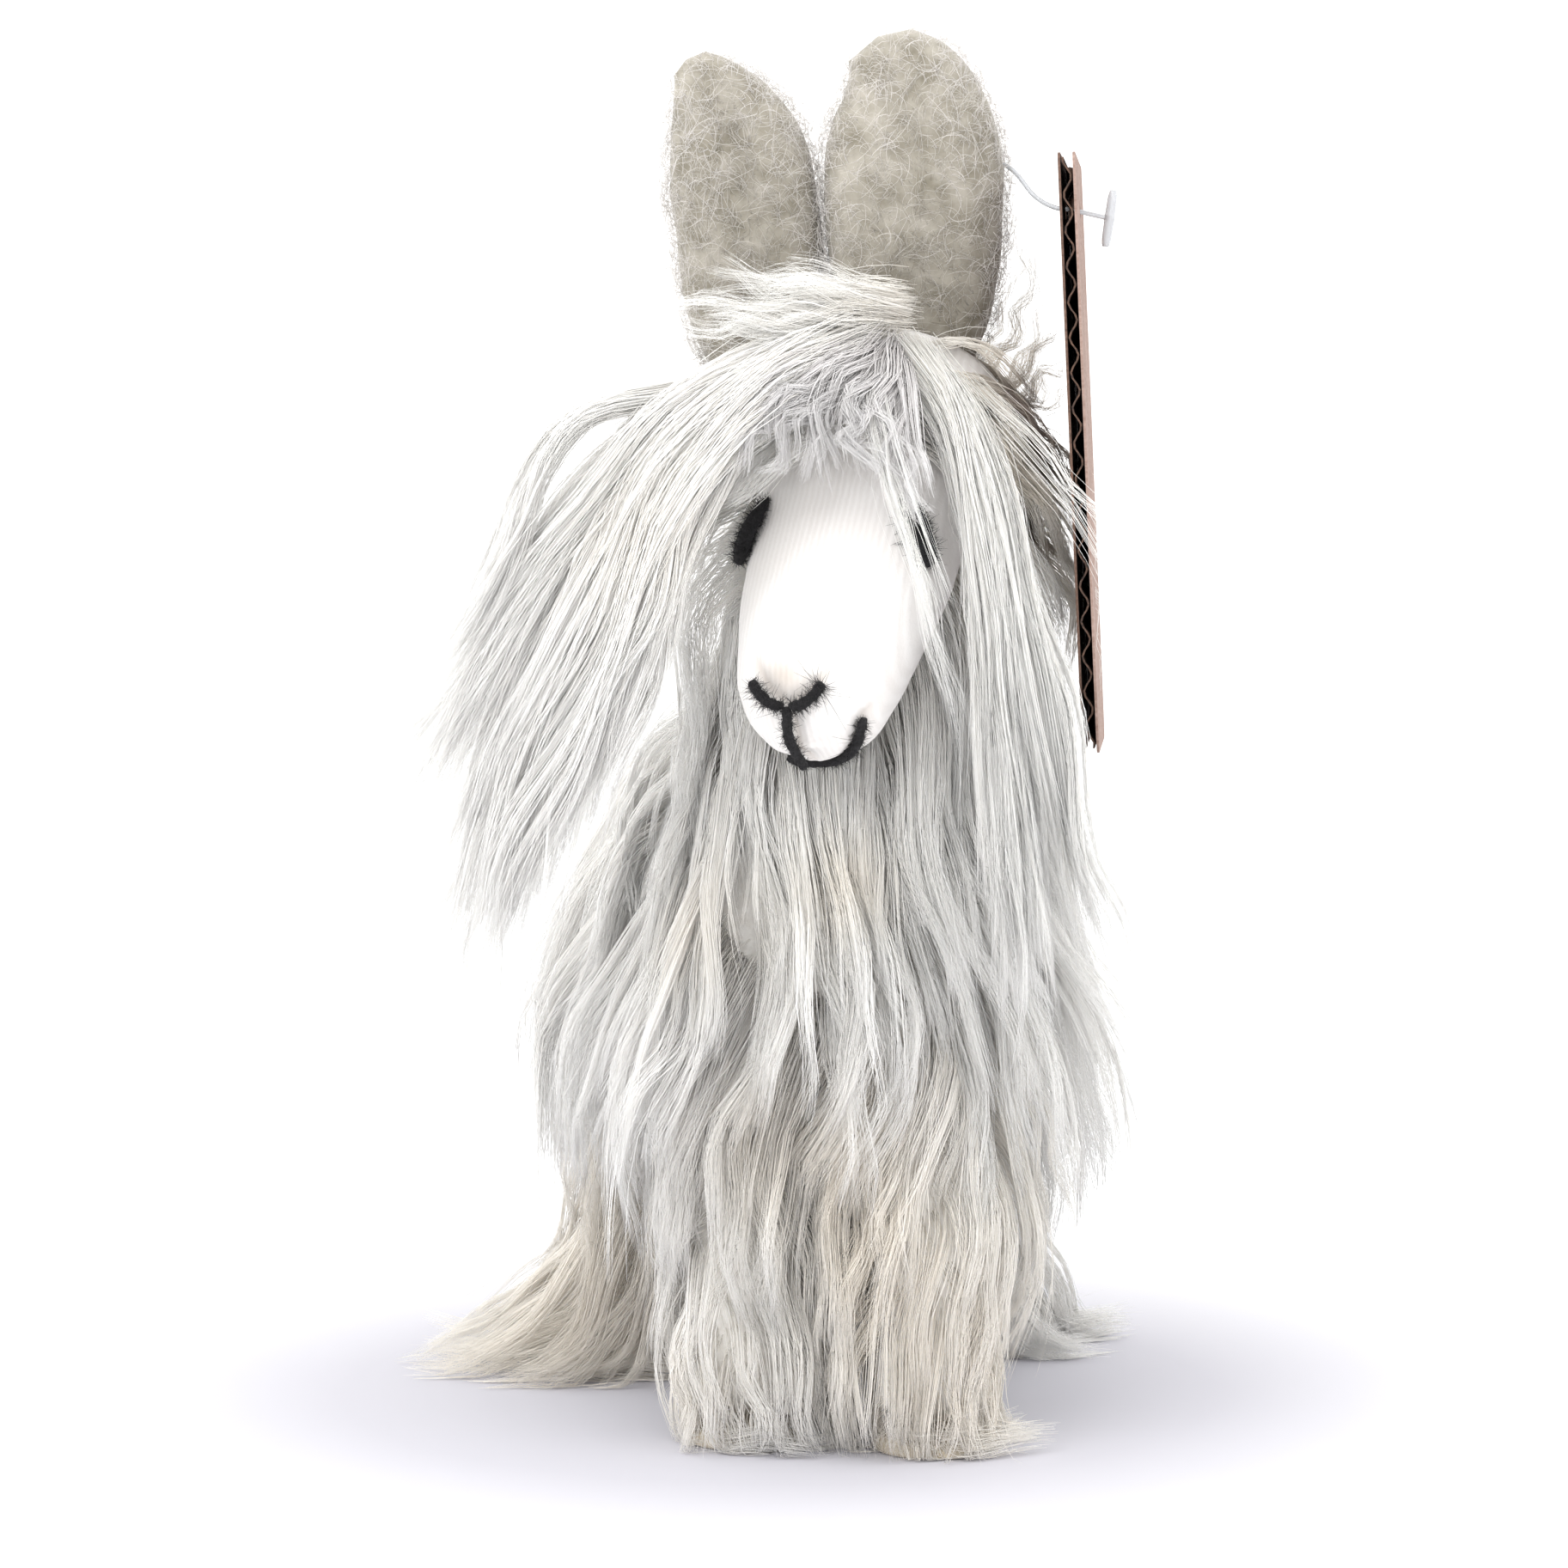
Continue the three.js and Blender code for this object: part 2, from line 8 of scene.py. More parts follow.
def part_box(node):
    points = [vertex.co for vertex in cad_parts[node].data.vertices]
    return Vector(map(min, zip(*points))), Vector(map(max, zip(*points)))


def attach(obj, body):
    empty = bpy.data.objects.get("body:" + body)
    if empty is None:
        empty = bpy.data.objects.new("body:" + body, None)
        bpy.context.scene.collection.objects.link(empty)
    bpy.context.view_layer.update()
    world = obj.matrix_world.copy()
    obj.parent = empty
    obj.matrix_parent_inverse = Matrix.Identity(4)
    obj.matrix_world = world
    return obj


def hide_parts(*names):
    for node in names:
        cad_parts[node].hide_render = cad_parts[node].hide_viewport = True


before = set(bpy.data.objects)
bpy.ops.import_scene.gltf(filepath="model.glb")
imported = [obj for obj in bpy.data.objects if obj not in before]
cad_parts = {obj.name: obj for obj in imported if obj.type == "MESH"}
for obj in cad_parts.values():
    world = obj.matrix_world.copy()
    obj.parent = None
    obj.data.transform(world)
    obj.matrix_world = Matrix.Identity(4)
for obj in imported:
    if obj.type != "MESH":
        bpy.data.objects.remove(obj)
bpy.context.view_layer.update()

# ------------------------------------------------------------------ frame and sizes
# Shapes are worked out in millimetres in the part's own drawing frame. SHIFT takes them to the row frame.
MM = 0.001
SOLE_AT = (18.0, -43.0)
_low, _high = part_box("sole_front_left")
SHIFT = np.array([(_low.x + _high.x) / 2 / MM - SOLE_AT[0], (_low.y + _high.y) / 2 / MM - SOLE_AT[1], 0.0])
DENSITY = 1.0
DOWN = np.array([0.0, 0.0, -1.0])

# A station of a lobe is [x, y, z, half width, half depth], and one of a leg's fur is [height, width, depth].
BODY_PELT = [[0, -46, 112, 34, 31], [0, -8, 113, 46, 40], [0, 36, 113, 49, 41], [0, 76, 113, 42, 37],
             [0, 98, 114, 19, 18]]
NECK_PELT = [[0, -28, 97, 35, 34], [0, -30, 122, 37, 36], [1, -33, 145, 34, 32], [2, -35, 166, 30, 28],
             [2, -36, 192, 25, 23]]
TAIL_CORE = [[0, 90, 126, 4, 4], [0, 102, 122, 5, 5], [0, 107, 110, 4.5, 4.5], [0, 108, 99, 2.5, 2.5]]
FRONT_FUR = [[0, 18, 18], [35, 17, 19], [70, 18, 22], [93, 17, 22]]
REAR_FUR = [[0, 31, 32], [35, 25, 28], [75, 21, 27], [102, 18, 25]]
LEGS = {
    "front_left": dict(x=18, y=-43, fur=FRONT_FUR, lean=(0, -3), tint=0.55),
    "front_right": dict(x=-18, y=-32, fur=FRONT_FUR, lean=(0, -3), tint=0.2),
    "rear_left": dict(x=27, y=60, fur=REAR_FUR, lean=(10, 5), tint=0.1),
    "rear_right": dict(x=-28, y=48, fur=REAR_FUR, lean=(-17, 5), tint=0.5),
}
BODY_HIDE, NECK_HIDE = 0.74, 0.64  # the size of the hide as a share of its pelt
HIP_IN = 0.78
LEG_TOP = 108

HEAD_AT = np.array([7.0, -46.0, 190.0])
HEAD_PITCH, HEAD_YAW = 45, -29
MUZZLE = [[0, 4, 0, 18, 16.5], [0, -14, -1, 19, 16], [0, -32, -3.5, 17, 14.6], [0, -46, -5.5, 14.6, 13.6],
          [0, -55, -6.8, 12, 11.6], [0, -60.5, -7.6, 7.6, 7.6], [0, -62.8, -7.8, 2.4, 2.4]]
SKULL = 20.5
EARS = {
    "ear_right": [[-15, -33, 207, 8, 7], [-16, -33, 220, 13, 8.5], [-17.5, -34, 236, 14, 9],
                  [-19.5, -35, 249, 13.6, 8.5], [-22.5, -35.5, 257.5, 11, 7.2], [-26, -36, 263.5, 7.4, 5.2],
                  [-29, -36, 267.5, 3.6, 3]],
    "ear_left": [[14, -38, 207, 9, 7.5], [14.5, -38, 220, 14.5, 9.5], [14, -39, 236, 17, 10.5],
                 [13.5, -40, 252, 16.6, 10], [11.5, -40.5, 263, 13, 8], [7.5, -41, 271, 6.6, 5]],
}


def unit(v):
    return v / np.maximum(np.linalg.norm(v, axis=-1, keepdims=True), 1e-9)


def seeded(name):
    return np.random.default_rng(sum(ord(c) * (i + 7) for i, c in enumerate(name)))


def spline(points, count):
    """A Catmull-Rom curve through points of any dimension, as count samples."""
    p = np.asarray(points, float)
    p = np.vstack([2 * p[0] - p[1], p, 2 * p[-1] - p[-2]])
    u = np.linspace(0, len(p) - 3 - 1e-9, count)
    i = u.astype(int)
    f = (u - i)[:, None]
    a, b, c, d = p[i], p[i + 1], p[i + 2], p[i + 3]
    return 0.5 * (2 * b + (c - a) * f + (2 * a - 5 * b + 4 * c - d) * f ** 2
                  + (3 * b - a - 3 * c + d) * f ** 3)


class Form:
    """A soft limb: oval sections square to one axis of the frame."""

    def __init__(self, stations, axis, share=1.0):
        table = spline(stations, 80)
        table = table[np.argsort(table[:, axis])]
        self.axis = axis
        self.plane = [0, 2] if axis == 1 else [0, 1]
        self.q = table[:, axis]
        self.centre = table[:, self.plane]
        self.half = table[:, 3:5] * share

    def section(self, q):
        c = np.stack([np.interp(q, self.q, self.centre[:, k]) for k in (0, 1)], -1)
        r = np.stack([np.interp(q, self.q, self.half[:, k]) for k in (0, 1)], -1)
        return c, r

    def surface(self, q, turn):
        c, r = self.section(q)
        point = np.zeros(q.shape + (3,))
        point[..., self.axis] = q
        point[..., self.plane[0]] = c[..., 0] + r[..., 0] * np.cos(turn)
        point[..., self.plane[1]] = c[..., 1] + r[..., 1] * np.sin(turn)
        return point

    def normals(self, q, turn):
        e = 0.5
        along = self.surface(q + e, turn) - self.surface(q - e, turn)
        around = self.surface(q, turn + 0.02) - self.surface(q, turn - 0.02)
        n = unit(np.cross(around, along))
        c, _ = self.section(q)
        out = self.surface(q, turn)[..., self.plane] - c
        flip = np.sign((n[..., self.plane] * out).sum(-1, keepdims=True))
        return n * np.where(flip == 0, 1, flip)

    def sample(self, count, rng):
        weight = np.maximum(self.half.sum(1), 1)
        cut = np.cumsum(weight) / weight.sum()
        q = np.interp(rng.random(count), cut, self.q)
        turn = rng.random(count) * 2 * np.pi
        return self.surface(q, turn), self.normals(q, turn)

    def push(self, p, layer):
        """Points inside the form, grown by layer, moved out to its surface."""
        q = p[:, self.axis]
        c, r = self.section(q)
        r = np.maximum(r + layer[:, None], 1)
        rel = (p[:, self.plane] - c) / r
        far = np.linalg.norm(rel, axis=1)
        inside = (far < 1) & (q > self.q[0]) & (q < self.q[-1])
        moved = p.copy()
        moved[np.ix_(inside, self.plane)] = (c + rel / np.maximum(far, 1e-3)[:, None] * r)[inside]
        return moved

    def holds(self, p, grow=0.0):
        q = p[:, self.axis]
        c, r = self.section(q)
        rel = (p[:, self.plane] - c) / (r + grow)
        return (np.linalg.norm(rel, axis=1) < 1) & (q > self.q[0]) & (q < self.q[-1])


class Ball:
    def __init__(self, centre, radius):
        self.centre, self.radius = np.asarray(centre, float), radius

    def push(self, p, layer):
        rel = p - self.centre
        far = np.linalg.norm(rel, axis=1)
        need = self.radius + layer
        return np.where((far < need)[:, None], self.centre + unit(rel) * need[:, None], p)


# ------------------------------------------------------------------ materials
def nodes_of(name, roughness=0.5, **inputs):
    mat = bpy.data.materials.new(name)
    mat.use_nodes = True
    shader = mat.node_tree.nodes["Principled BSDF"]
    shader.inputs["Roughness"].default_value = roughness
    for key, value in inputs.items():
        shader.inputs[key.replace("_", " ")].default_value = value
    return mat, mat.node_tree, shader


def add(tree, kind, **values):
    node = tree.nodes.new(kind)
    for key, value in values.items():
        if key in node.inputs:
            node.inputs[key].default_value = value
        else:
            setattr(node, key, value)
    return node


def noise(tree, scale, detail=3.0, stretch=None):
    """A noise pattern fixed to the piece, in metres, optionally stretched along its axes."""
    coords = add(tree, "ShaderNodeTexCoord")
    out = coords.outputs["Object"]
    if stretch:
        mapping = add(tree, "ShaderNodeMapping")
        mapping.inputs["Scale"].default_value = stretch
        tree.links.new(out, mapping.inputs["Vector"])
        out = mapping.outputs[0]
    tex = add(tree, "ShaderNodeTexNoise", Scale=scale, Detail=detail, Roughness=0.6)
    tree.links.new(out, tex.inputs["Vector"])
    return tex.outputs["Fac"]


def ramp(tree, source, stops):
    node = add(tree, "ShaderNodeValToRGB")
    while len(node.color_ramp.elements) < len(stops):
        node.color_ramp.elements.new(0.5)
    for element, (place, colour) in zip(node.color_ramp.elements, stops):
        element.position = place
        element.color = (*colour, 1)
    tree.links.new(source, node.inputs[0])
    return node.outputs[0]


def mixed(tree, factor, a, b, how="MIX"):
    node = add(tree, "ShaderNodeMix", data_type="RGBA", blend_type=how)
    for value, socket in ((factor, node.inputs[0]), (a, node.inputs[6]), (b, node.inputs[7])):
        if isinstance(value, bpy.types.NodeSocket):
            tree.links.new(value, socket)
        elif isinstance(value, tuple):
            socket.default_value = (*value, 1)
        else:
            socket.default_value = value
    return node.outputs[2]


def bumped(tree, shader, height, strength, distance):
    node = add(tree, "ShaderNodeBump", Strength=strength, Distance=distance)
    tree.links.new(height, node.inputs["Height"])
    tree.links.new(node.outputs[0], shader.inputs["Normal"])


def fur_material(name, tip, warm, dark, roughness):
    """Strands from their pale tips to a warm undercoat and on to dark, by the strand's own tint; high tints,
    as in the painted shade at the side of the neck, go dark.
    """
    mat, tree, shader = nodes_of(name, roughness, Subsurface_Weight=0.3, Subsurface_Scale=0.001)
    shader.inputs["Subsurface Radius"].default_value = (1.0, 0.95, 0.9)
    shader.inputs["Specular IOR Level"].default_value = 0.35
    shader.inputs["Sheen Weight"].default_value = 0.2
    shader.inputs["Sheen Roughness"].default_value = 0.4
    tint = add(tree, "ShaderNodeAttribute", attribute_name="tint")
    patch = ramp(tree, noise(tree, 38, 2), [(0.35, tuple(0.94 * c for c in tip)), (0.65, tip)])
    deep = ramp(tree, tint.outputs["Fac"], [(0.45, warm), (1.0, dark)])
    tree.links.new(mixed(tree, tint.outputs["Fac"], patch, deep), shader.inputs["Base Color"])
    return mat


def felt_material(name, dark, light, scale, sheen=0.3):
    mat, tree, shader = nodes_of(name, 0.95, Sheen_Weight=sheen, Sheen_Roughness=0.5)
    fibre = noise(tree, scale, 5)
    tree.links.new(ramp(tree, fibre, [(0.3, dark), (0.72, light)]), shader.inputs["Base Color"])
    bumped(tree, shader, fibre, 0.5, 0.0005)
    return mat


suri = fur_material("suri_strands", (0.975, 0.972, 0.955), (0.93, 0.80, 0.60), (0.28, 0.22, 0.19), 0.4)
# A darker, greyer copy of the coat's strands for the fringe: painted shade, with a mauve-grey tone.
fringe_shaded_suri = fur_material("suri_strands_painted_shade", (0.88, 0.87, 0.87), (0.60, 0.55, 0.53), (0.25, 0.21, 0.21),
                           0.4)
hide = felt_material("hide_undercoat", (0.74, 0.71, 0.66), (0.88, 0.87, 0.84), 420)
short_fur = fur_material("ear_strands", (0.76, 0.725, 0.705), (0.40, 0.365, 0.30), (0.20, 0.18, 0.14), 0.75)
ear_skin = felt_material("ear_undercoat", (0.22, 0.20, 0.155), (0.46, 0.43, 0.375), 200)
sole_felt = felt_material("sole_felt_pad", (0.52, 0.45, 0.34), (0.70, 0.63, 0.50), 700)
black_felt = felt_material("black_felted_yarn", (0.004, 0.004, 0.005), (0.016, 0.015, 0.017), 1500,
                           sheen=0.02)


# ------------------------------------------------------------------ meshes
FIBRE_SIDES = 3
# The space that hair may fill, a little larger than the CAD box.
LIMITS = (np.array([-85.0, -118.0, 0.0]) - SHIFT, np.array([85.0, 118.0, 284.0]) - SHIFT)


def trimmed(path):
    """Hairs cut short where they would leave the space the fur may fill."""
    out = ((path < LIMITS[0]) | (path > LIMITS[1])).any(-1)
    count = path.shape[1]
    first = np.where(out.any(1), out.argmax(1), count)
    share = np.clip((first - 1.0) / (count - 1), 0.15, 1)
    want = np.linspace(0, 1, count)[None] * share[:, None] * (count - 1)
    i = np.clip(want.astype(int), 0, count - 2)
    f = (want - i)[..., None]
    rows = np.arange(len(path))[:, None]
    return path[rows, i] * (1 - f) + path[rows, i + 1] * f


def make_object(name, verts, faces, mat, tint=None):
    """faces is a list of integer arrays, one per polygon size. verts are drawing millimetres."""
    me = bpy.data.meshes.new(name)
    co = (np.asarray(verts, float) + SHIFT) * MM
    me.vertices.add(len(co))
    me.vertices.foreach_set("co", co.astype(np.float32).ravel())
    corners = np.concatenate([f.ravel() for f in faces]).astype(np.int32)
    sizes = np.concatenate([np.full(len(f), f.shape[1]) for f in faces])
    starts = np.concatenate([[0], np.cumsum(sizes)[:-1]]).astype(np.int32)
    me.loops.add(len(corners))
    me.loops.foreach_set("vertex_index", corners)
    me.polygons.add(len(sizes))
    me.polygons.foreach_set("loop_start", starts)
    me.update(calc_edges=True)
    me.polygons.foreach_set("use_smooth", np.full(len(sizes), True))
    me.materials.append(mat)
    if tint is not None:
        me.attributes.new("tint", "FLOAT", "POINT").data.foreach_set("value", tint.astype(np.float32).ravel())
    ob = bpy.data.objects.new(name, me)
    bpy.context.scene.collection.objects.link(ob)
    return ob


def tube_arrays(paths, radii, sides=FIBRE_SIDES):
    """Closed tubes along (N, K, 3) paths: vertices (N*K*sides, 3), quads, and end caps."""
    n, k = paths.shape[:2]
    tangent = unit(np.gradient(paths, axis=1))
    u = unit(np.cross(tangent[:, 0], np.array([0.31, 0.52, 0.79])))
    rings = np.empty((n, k, sides, 3))
    angle = np.arange(sides) * 2 * np.pi / sides
    for i in range(k):
        t = tangent[:, i]
        u = unit(u - (u * t).sum(1, keepdims=True) * t)
        v = np.cross(t, u)
        around = u[:, None] * np.cos(angle)[None, :, None] + v[:, None] * np.sin(angle)[None, :, None]
        rings[:, i] = paths[:, i, None] + around * radii[:, i, None, None]
    first = (np.arange(n)[:, None, None] * k + np.arange(k - 1)[None, :, None]) * sides
    a = first + np.arange(sides)
    b = first + (np.arange(sides) + 1) % sides
    quads = np.stack([a, b, b + sides, a + sides], -1).reshape(-1, 4)
    start = np.arange(n)[:, None] * k * sides
    caps = np.concatenate([start + np.arange(sides)[::-1], start + (k - 1) * sides + np.arange(sides)])
    return rings.reshape(-1, 3), quads, caps


def ring_grid(rows, sides):
    """The corners of the quads between rings of points: each one, and the next one round."""
    first, k = np.arange(rows - 1)[:, None] * sides, np.arange(sides)
    return first + k, first + (k + 1) % sides


def loft(stations, axis_count, sides, wobble=0.0, rng=None, power=2.0):
    """A closed smooth lobe through [x, y, z, half width, half depth] stations, with domed ends."""
    table = spline(stations, axis_count)
    centre, half = table[:, :3], table[:, 3:5]
    tangent = unit(np.gradient(centre, axis=0))
    wide = unit(np.array([1.0, 0, 0]) - tangent[:, :1] * tangent)
    deep = np.cross(tangent, wide)
    turn = np.arange(sides) * 2 * np.pi / sides
    c, s = np.cos(turn), np.sin(turn)
    c, s = np.sign(c) * np.abs(c) ** (2 / power), np.sign(s) * np.abs(s) ** (2 / power)
    ring = (centre[:, None] + wide[:, None] * (half[:, :1] * c)[..., None]
            + deep[:, None] * (half[:, 1:] * s)[..., None])
    if wobble:
        bumps = rng.normal(size=(axis_count, sides))
        for _ in range(3):
            bumps = (bumps + np.roll(bumps, 1, 1) + np.roll(bumps, -1, 1)) / 3
            bumps[1:-1] = (bumps[1:-1] + bumps[2:] + bumps[:-2]) / 3
        ring += unit(ring - centre[:, None]) * (bumps * wobble)[..., None]
    ends = np.array([centre[0] - tangent[0] * half[0].min() * 0.35,
                     centre[-1] + tangent[-1] * half[-1].min() * 0.35])
    a, b = ring_grid(axis_count, sides)
    quads = np.stack([a, b, b + sides, a + sides], -1).reshape(-1, 4)
    n = axis_count * sides
    k = np.arange(sides)
    low = np.stack([np.full(sides, n), (k + 1) % sides, k], -1)
    high = np.stack([np.full(sides, n + 1), n - sides + k, n - sides + (k + 1) % sides], -1)
    return np.vstack([ring.reshape(-1, 3), ends]), quads, np.vstack([low, high])


# ------------------------------------------------------------------ hair
def swirl(p, strength):
    """A slow turning field, so that neighbouring locks sway together."""
    x, y, z = p[:, 0] / 24, p[:, 1] / 24, p[:, 2] / 19
    return strength * np.stack([np.sin(z + x + 1.3) + 0.6 * np.sin(2.1 * z - y),
                                0.5 * np.sin(z * 1.3 - x + 2.0),
                                0.25 * np.sin(x * 1.7 + y)], -1)


def grow(roots, normals, length, rng, comb, lift=1.0, weight=0.35, layer=None, around=(), waves=(2.0, 30.0),
         keep=14, floor=0.6, droop=0.16, sway=0.16):
    """Guide hairs: they leave the hide along its normal, follow the comb and hang under their weight."""
    n = len(roots)
    layer = np.zeros(n) if layer is None else layer
    step = length / (keep - 1)
    p = roots.copy()
    d = unit(normals * lift + comb(roots) * 0.6)
    path = [p]
    for k in range(1, keep):
        s = k / (keep - 1)
        d = unit(d + comb(p) * 0.35 + swirl(p, sway) + DOWN * (droop + weight * s))
        q = p + d * step[:, None]
        reach = np.minimum(1, k / 4) * layer
        for form in around:
            q = form.push(q, reach)
        low = floor + layer * 0.25
        under = q[:, 2] < low
        q[under, 2] = low[under]
        p, d = q, unit(q - p)
        path.append(p)
    path = np.stack(path, 1)
    tall, width = waves[0] * rng.uniform(0.5, 1.3, n), waves[1] * rng.uniform(0.7, 1.4, n)
    s = np.linspace(0, 1, keep)
    phase = rng.uniform(0, 2 * np.pi, n)
    side = unit(np.cross(unit(path[:, -1] - path[:, 0]), rng.normal(size=(n, 3))))
    other = unit(np.cross(side, unit(path[:, -1] - path[:, 0])))
    turn = 2 * np.pi * s[None] * (length / width)[:, None] + phase[:, None]
    swell = (tall[:, None] * np.minimum(1, s * 1.6)[None])[..., None]
    path = path + swell * (side[:, None] * np.sin(turn)[..., None] + 0.5 * other[:, None]
                           * np.cos(turn)[..., None])
    path[..., 2] = np.maximum(path[..., 2], floor)
    return path


WISP = 14  # hairs in a wisp


def strands(guides, roots, owner, rng, clump=0.45, wisp=0.4, frizz=0.3, crimp=26.0, wander=2.6, thick=0.085,
            cut=(0.78, 1.05), keep=9, twist=0.6, stray=0.04, floor=0.4):
    """Hairs round their guides: wisps that close up towards the tips, within wider locks."""
    n = len(roots)
    chosen = rng.choice(n, max(1, n // WISP), replace=False)
    mine = nearest(roots, roots[chosen])
    leader = chosen[mine]
    owner = owner[leader]
    g = guides[owner]
    k_in = g.shape[1]
    loose = rng.random(n) < stray
    share = rng.uniform(*cut, n)[leader] * rng.uniform(0.9, 1.0, n)
    s = np.linspace(0, 1, keep)
    want = np.clip(s[None] * share[:, None], 0, 1.1) * (k_in - 1)
    i = np.clip(want.astype(int), 0, k_in - 2)
    f = (want - i)[..., None]
    rows = np.arange(n)[:, None]
    base = g[rows, i] * (1 - f) + g[rows, i + 1] * f
    tangent = unit(np.gradient(base, axis=1))
    off = roots[leader] - g[:, 0]
    turn = rng.normal(twist, 0.4, n)[leader][:, None] * s[None]
    across = np.cross(tangent, off[:, None])
    swung = off[:, None] * np.cos(turn)[..., None] + across * np.sin(turn)[..., None]
    rise = np.minimum(1, s * 1.3)[None] ** 0.8
    hold = (clump * rng.uniform(0.75, 1.15, n))[leader][:, None] * rise
    tight = np.where(loose, 0.1, wisp)[:, None] * np.minimum(1, s * 1.6)[None]
    path = base + swung * (1 - hold)[..., None] + (roots - roots[leader])[:, None] * (1 - tight)[..., None]
    drift = rng.normal(size=(n, 3)) * wander * 0.5
    drift = drift[leader] + np.where(loose[:, None], 2.2, 0.22) * rng.normal(size=(n, 3)) * wander * 0.5
    path = path + drift[:, None] * (s[None, :, None] ** 1.6)
    size = np.linalg.norm(g[:, -1] - g[:, 0], axis=1) * share
    phase = rng.uniform(0, 2 * np.pi, n)[leader][:, None]
    length = (crimp * rng.uniform(0.7, 1.5, n))[leader]
    bend = unit(rng.normal(size=(n, 3)))[leader]
    bend = unit(np.cross(bend[:, None], tangent))
    wave = (np.sin(phase + 2 * np.pi * s[None] * (size / length)[:, None])
            * frizz * np.minimum(1, 2.5 * s)[None])
    path = path + bend * wave[..., None]
    path[..., 2] = np.maximum(path[..., 2], floor)
    radii = thick * rng.uniform(0.75, 1.25, (n, 1)) * (1 - 0.7 * s[None] ** 1.6)
    return path, radii


# Spots of the coat, both stains and painted shade: the middle, the radius and how strong each is.
STAINS_AND_PAINTED_SHADE = [((-12, -58, 58), 15, 0.4), ((4, -56, 42), 13, 0.25), ((-27, -60, 104), 13, 0.2),
           ((16, -50, 18), 20, 0.25),
           # Next: the cream stain of the skirt, a darker spot low between the legs, and three strong spots at
           # the side of the neck (x 33 to 35), painted shade with some cream tone.
           ((-60, 26, 10), 34, 0.3), ((-32, -40, 8), 12, 0.2), ((35, -46, 199), 16, 1.1),
           ((33, -40, 178), 13, 0.8),
           # (-2, -68, 112) is painted shade under the chin.
           ((35, -34, 156), 12, 0.5), ((-2, -68, 112), 9, 0.35), ((-40, -76, 176), 14, 0.15)]


def tints(path, base, root, rng):
    """How warm or dark each point of a hair is: its root, its own lot and the spots of the coat, stains and
    painted shade.
    """
    s = np.linspace(0, 1, path.shape[1])
    value = base + root * (1 - s[None]) ** 2 + rng.normal(0, 0.05, (len(path), 1))
    for centre, radius, strength in STAINS_AND_PAINTED_SHADE:
        near = np.exp(-(((path - np.array(centre)) / radius) ** 2).sum(-1))
        value = value + strength * near
    return np.clip(value, 0, 1)


def fur_piece(name, path, radii, mat, body, nodes, base, root):
    path = trimmed(path)
    verts, quads, caps = tube_arrays(path, radii)
    tint = np.repeat(tints(path, base, root, seeded(name + "tint"))[..., None], FIBRE_SIDES, -1).ravel()
    place(make_object(name, verts, [quads, caps], mat, tint=tint), body, "suri_fur", nodes)


def place(ob, body, slot, nodes=()):
    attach(ob, body)
    if nodes:
        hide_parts(*nodes)
    return ob


def nearest(points, seeds):
    owner = np.empty(len(points), int)
    for a in range(0, len(points), 2000):
        d = ((points[a:a + 2000, None] - seeds[None]) ** 2).sum(-1)
        owner[a:a + 2000] = d.argmin(1)
    return owner


def coat(name, form, body, count, locks, length, comb, around, layers, nodes=(), skip=(), base=0.03,
         root=0.16,
         waves=(2.0, 30.0), lift=1.0, reach=None, **more):
    """A whole area of fur grown from one form, leaving out what a test in skip is true for."""
    rng = seeded(name)

    def sampled(many):
        at, out = form.sample(many * 3, rng)
        fit = np.ones(len(at), bool)
        for test in skip:
            fit &= ~test(at)
        return at[fit][:many], out[fit][:many]

    at, out = sampled(locks)
    lengths = rng.uniform(*length, len(at))
    if reach is not None:
        lengths = np.minimum(lengths, reach(at))
    layer = rng.uniform(0, 1, len(at)) ** 0.8 * layers
    guides = grow(at, out, lengths, rng, comb, layer=layer, around=around, waves=waves, lift=lift)
    roots, _ = sampled(int(count * DENSITY))
    owner = nearest(roots, at)
    path, radii = strands(guides, roots, owner, rng, **more)
    fur_pieces(name, path, radii, owner, body, nodes, base, root)


MOST_FACES = 190000  # triangles in one piece of fur


def fur_pieces(name, path, radii, owner, body, nodes, base, root, mat=suri):
    """The hairs of one area, split into pieces of a workable size that each hold whole locks."""
    faces = 2 * FIBRE_SIDES * (path.shape[1] - 1) + 2
    parts = math.ceil(len(path) * faces / MOST_FACES)
    order = np.argsort(owner * 7919 % 104729, kind="stable")
    for i, chunk in enumerate(np.array_split(order, parts)):
        label = name if parts == 1 else f"{name}_{'abcdefgh'[i]}"
        fur_piece(label, path[chunk], radii[chunk], mat, body, nodes if i == 0 else (), base, root)


body_form = Form(BODY_PELT, 1, BODY_HIDE)
neck_form = Form(NECK_PELT, 2, NECK_HIDE)
skull = Ball(HEAD_AT, SKULL)
leg_forms = {}
for _name, _leg in LEGS.items():
    _rows = []
    for _z, _wide, _deep in _leg["fur"]:
        _spread = (1 - _z / LEG_TOP) ** 2
        _rise = (_z / LEG_TOP) * (1 - HIP_IN)
        _rows.append([_leg["x"] * (1 - _rise) + _spread * _leg["lean"][0] * 0.4,
                      _leg["y"] * (1 - _rise) + _spread * _leg["lean"][1] * 0.4, max(_z, 3.8),
                      9.5 + 0.1 * _wide, 9.5 + 0.1 * _deep])
    leg_forms[_name] = Form(_rows, 2)


# ------------------------------------------------------------------ the head's own level frame
HEAD = (Matrix.Translation(Vector(HEAD_AT)) @ Matrix.Rotation(math.radians(HEAD_YAW), 4, "Z")
        @ Matrix.Rotation(math.radians(HEAD_PITCH), 4, "X"))
HEAD_NP = np.array(HEAD)


def from_head(p):
    return p @ HEAD_NP[:3, :3].T + HEAD_NP[:3, 3]


def to_head(p):
    return (p - HEAD_NP[:3, 3]) @ HEAD_NP[:3, :3]


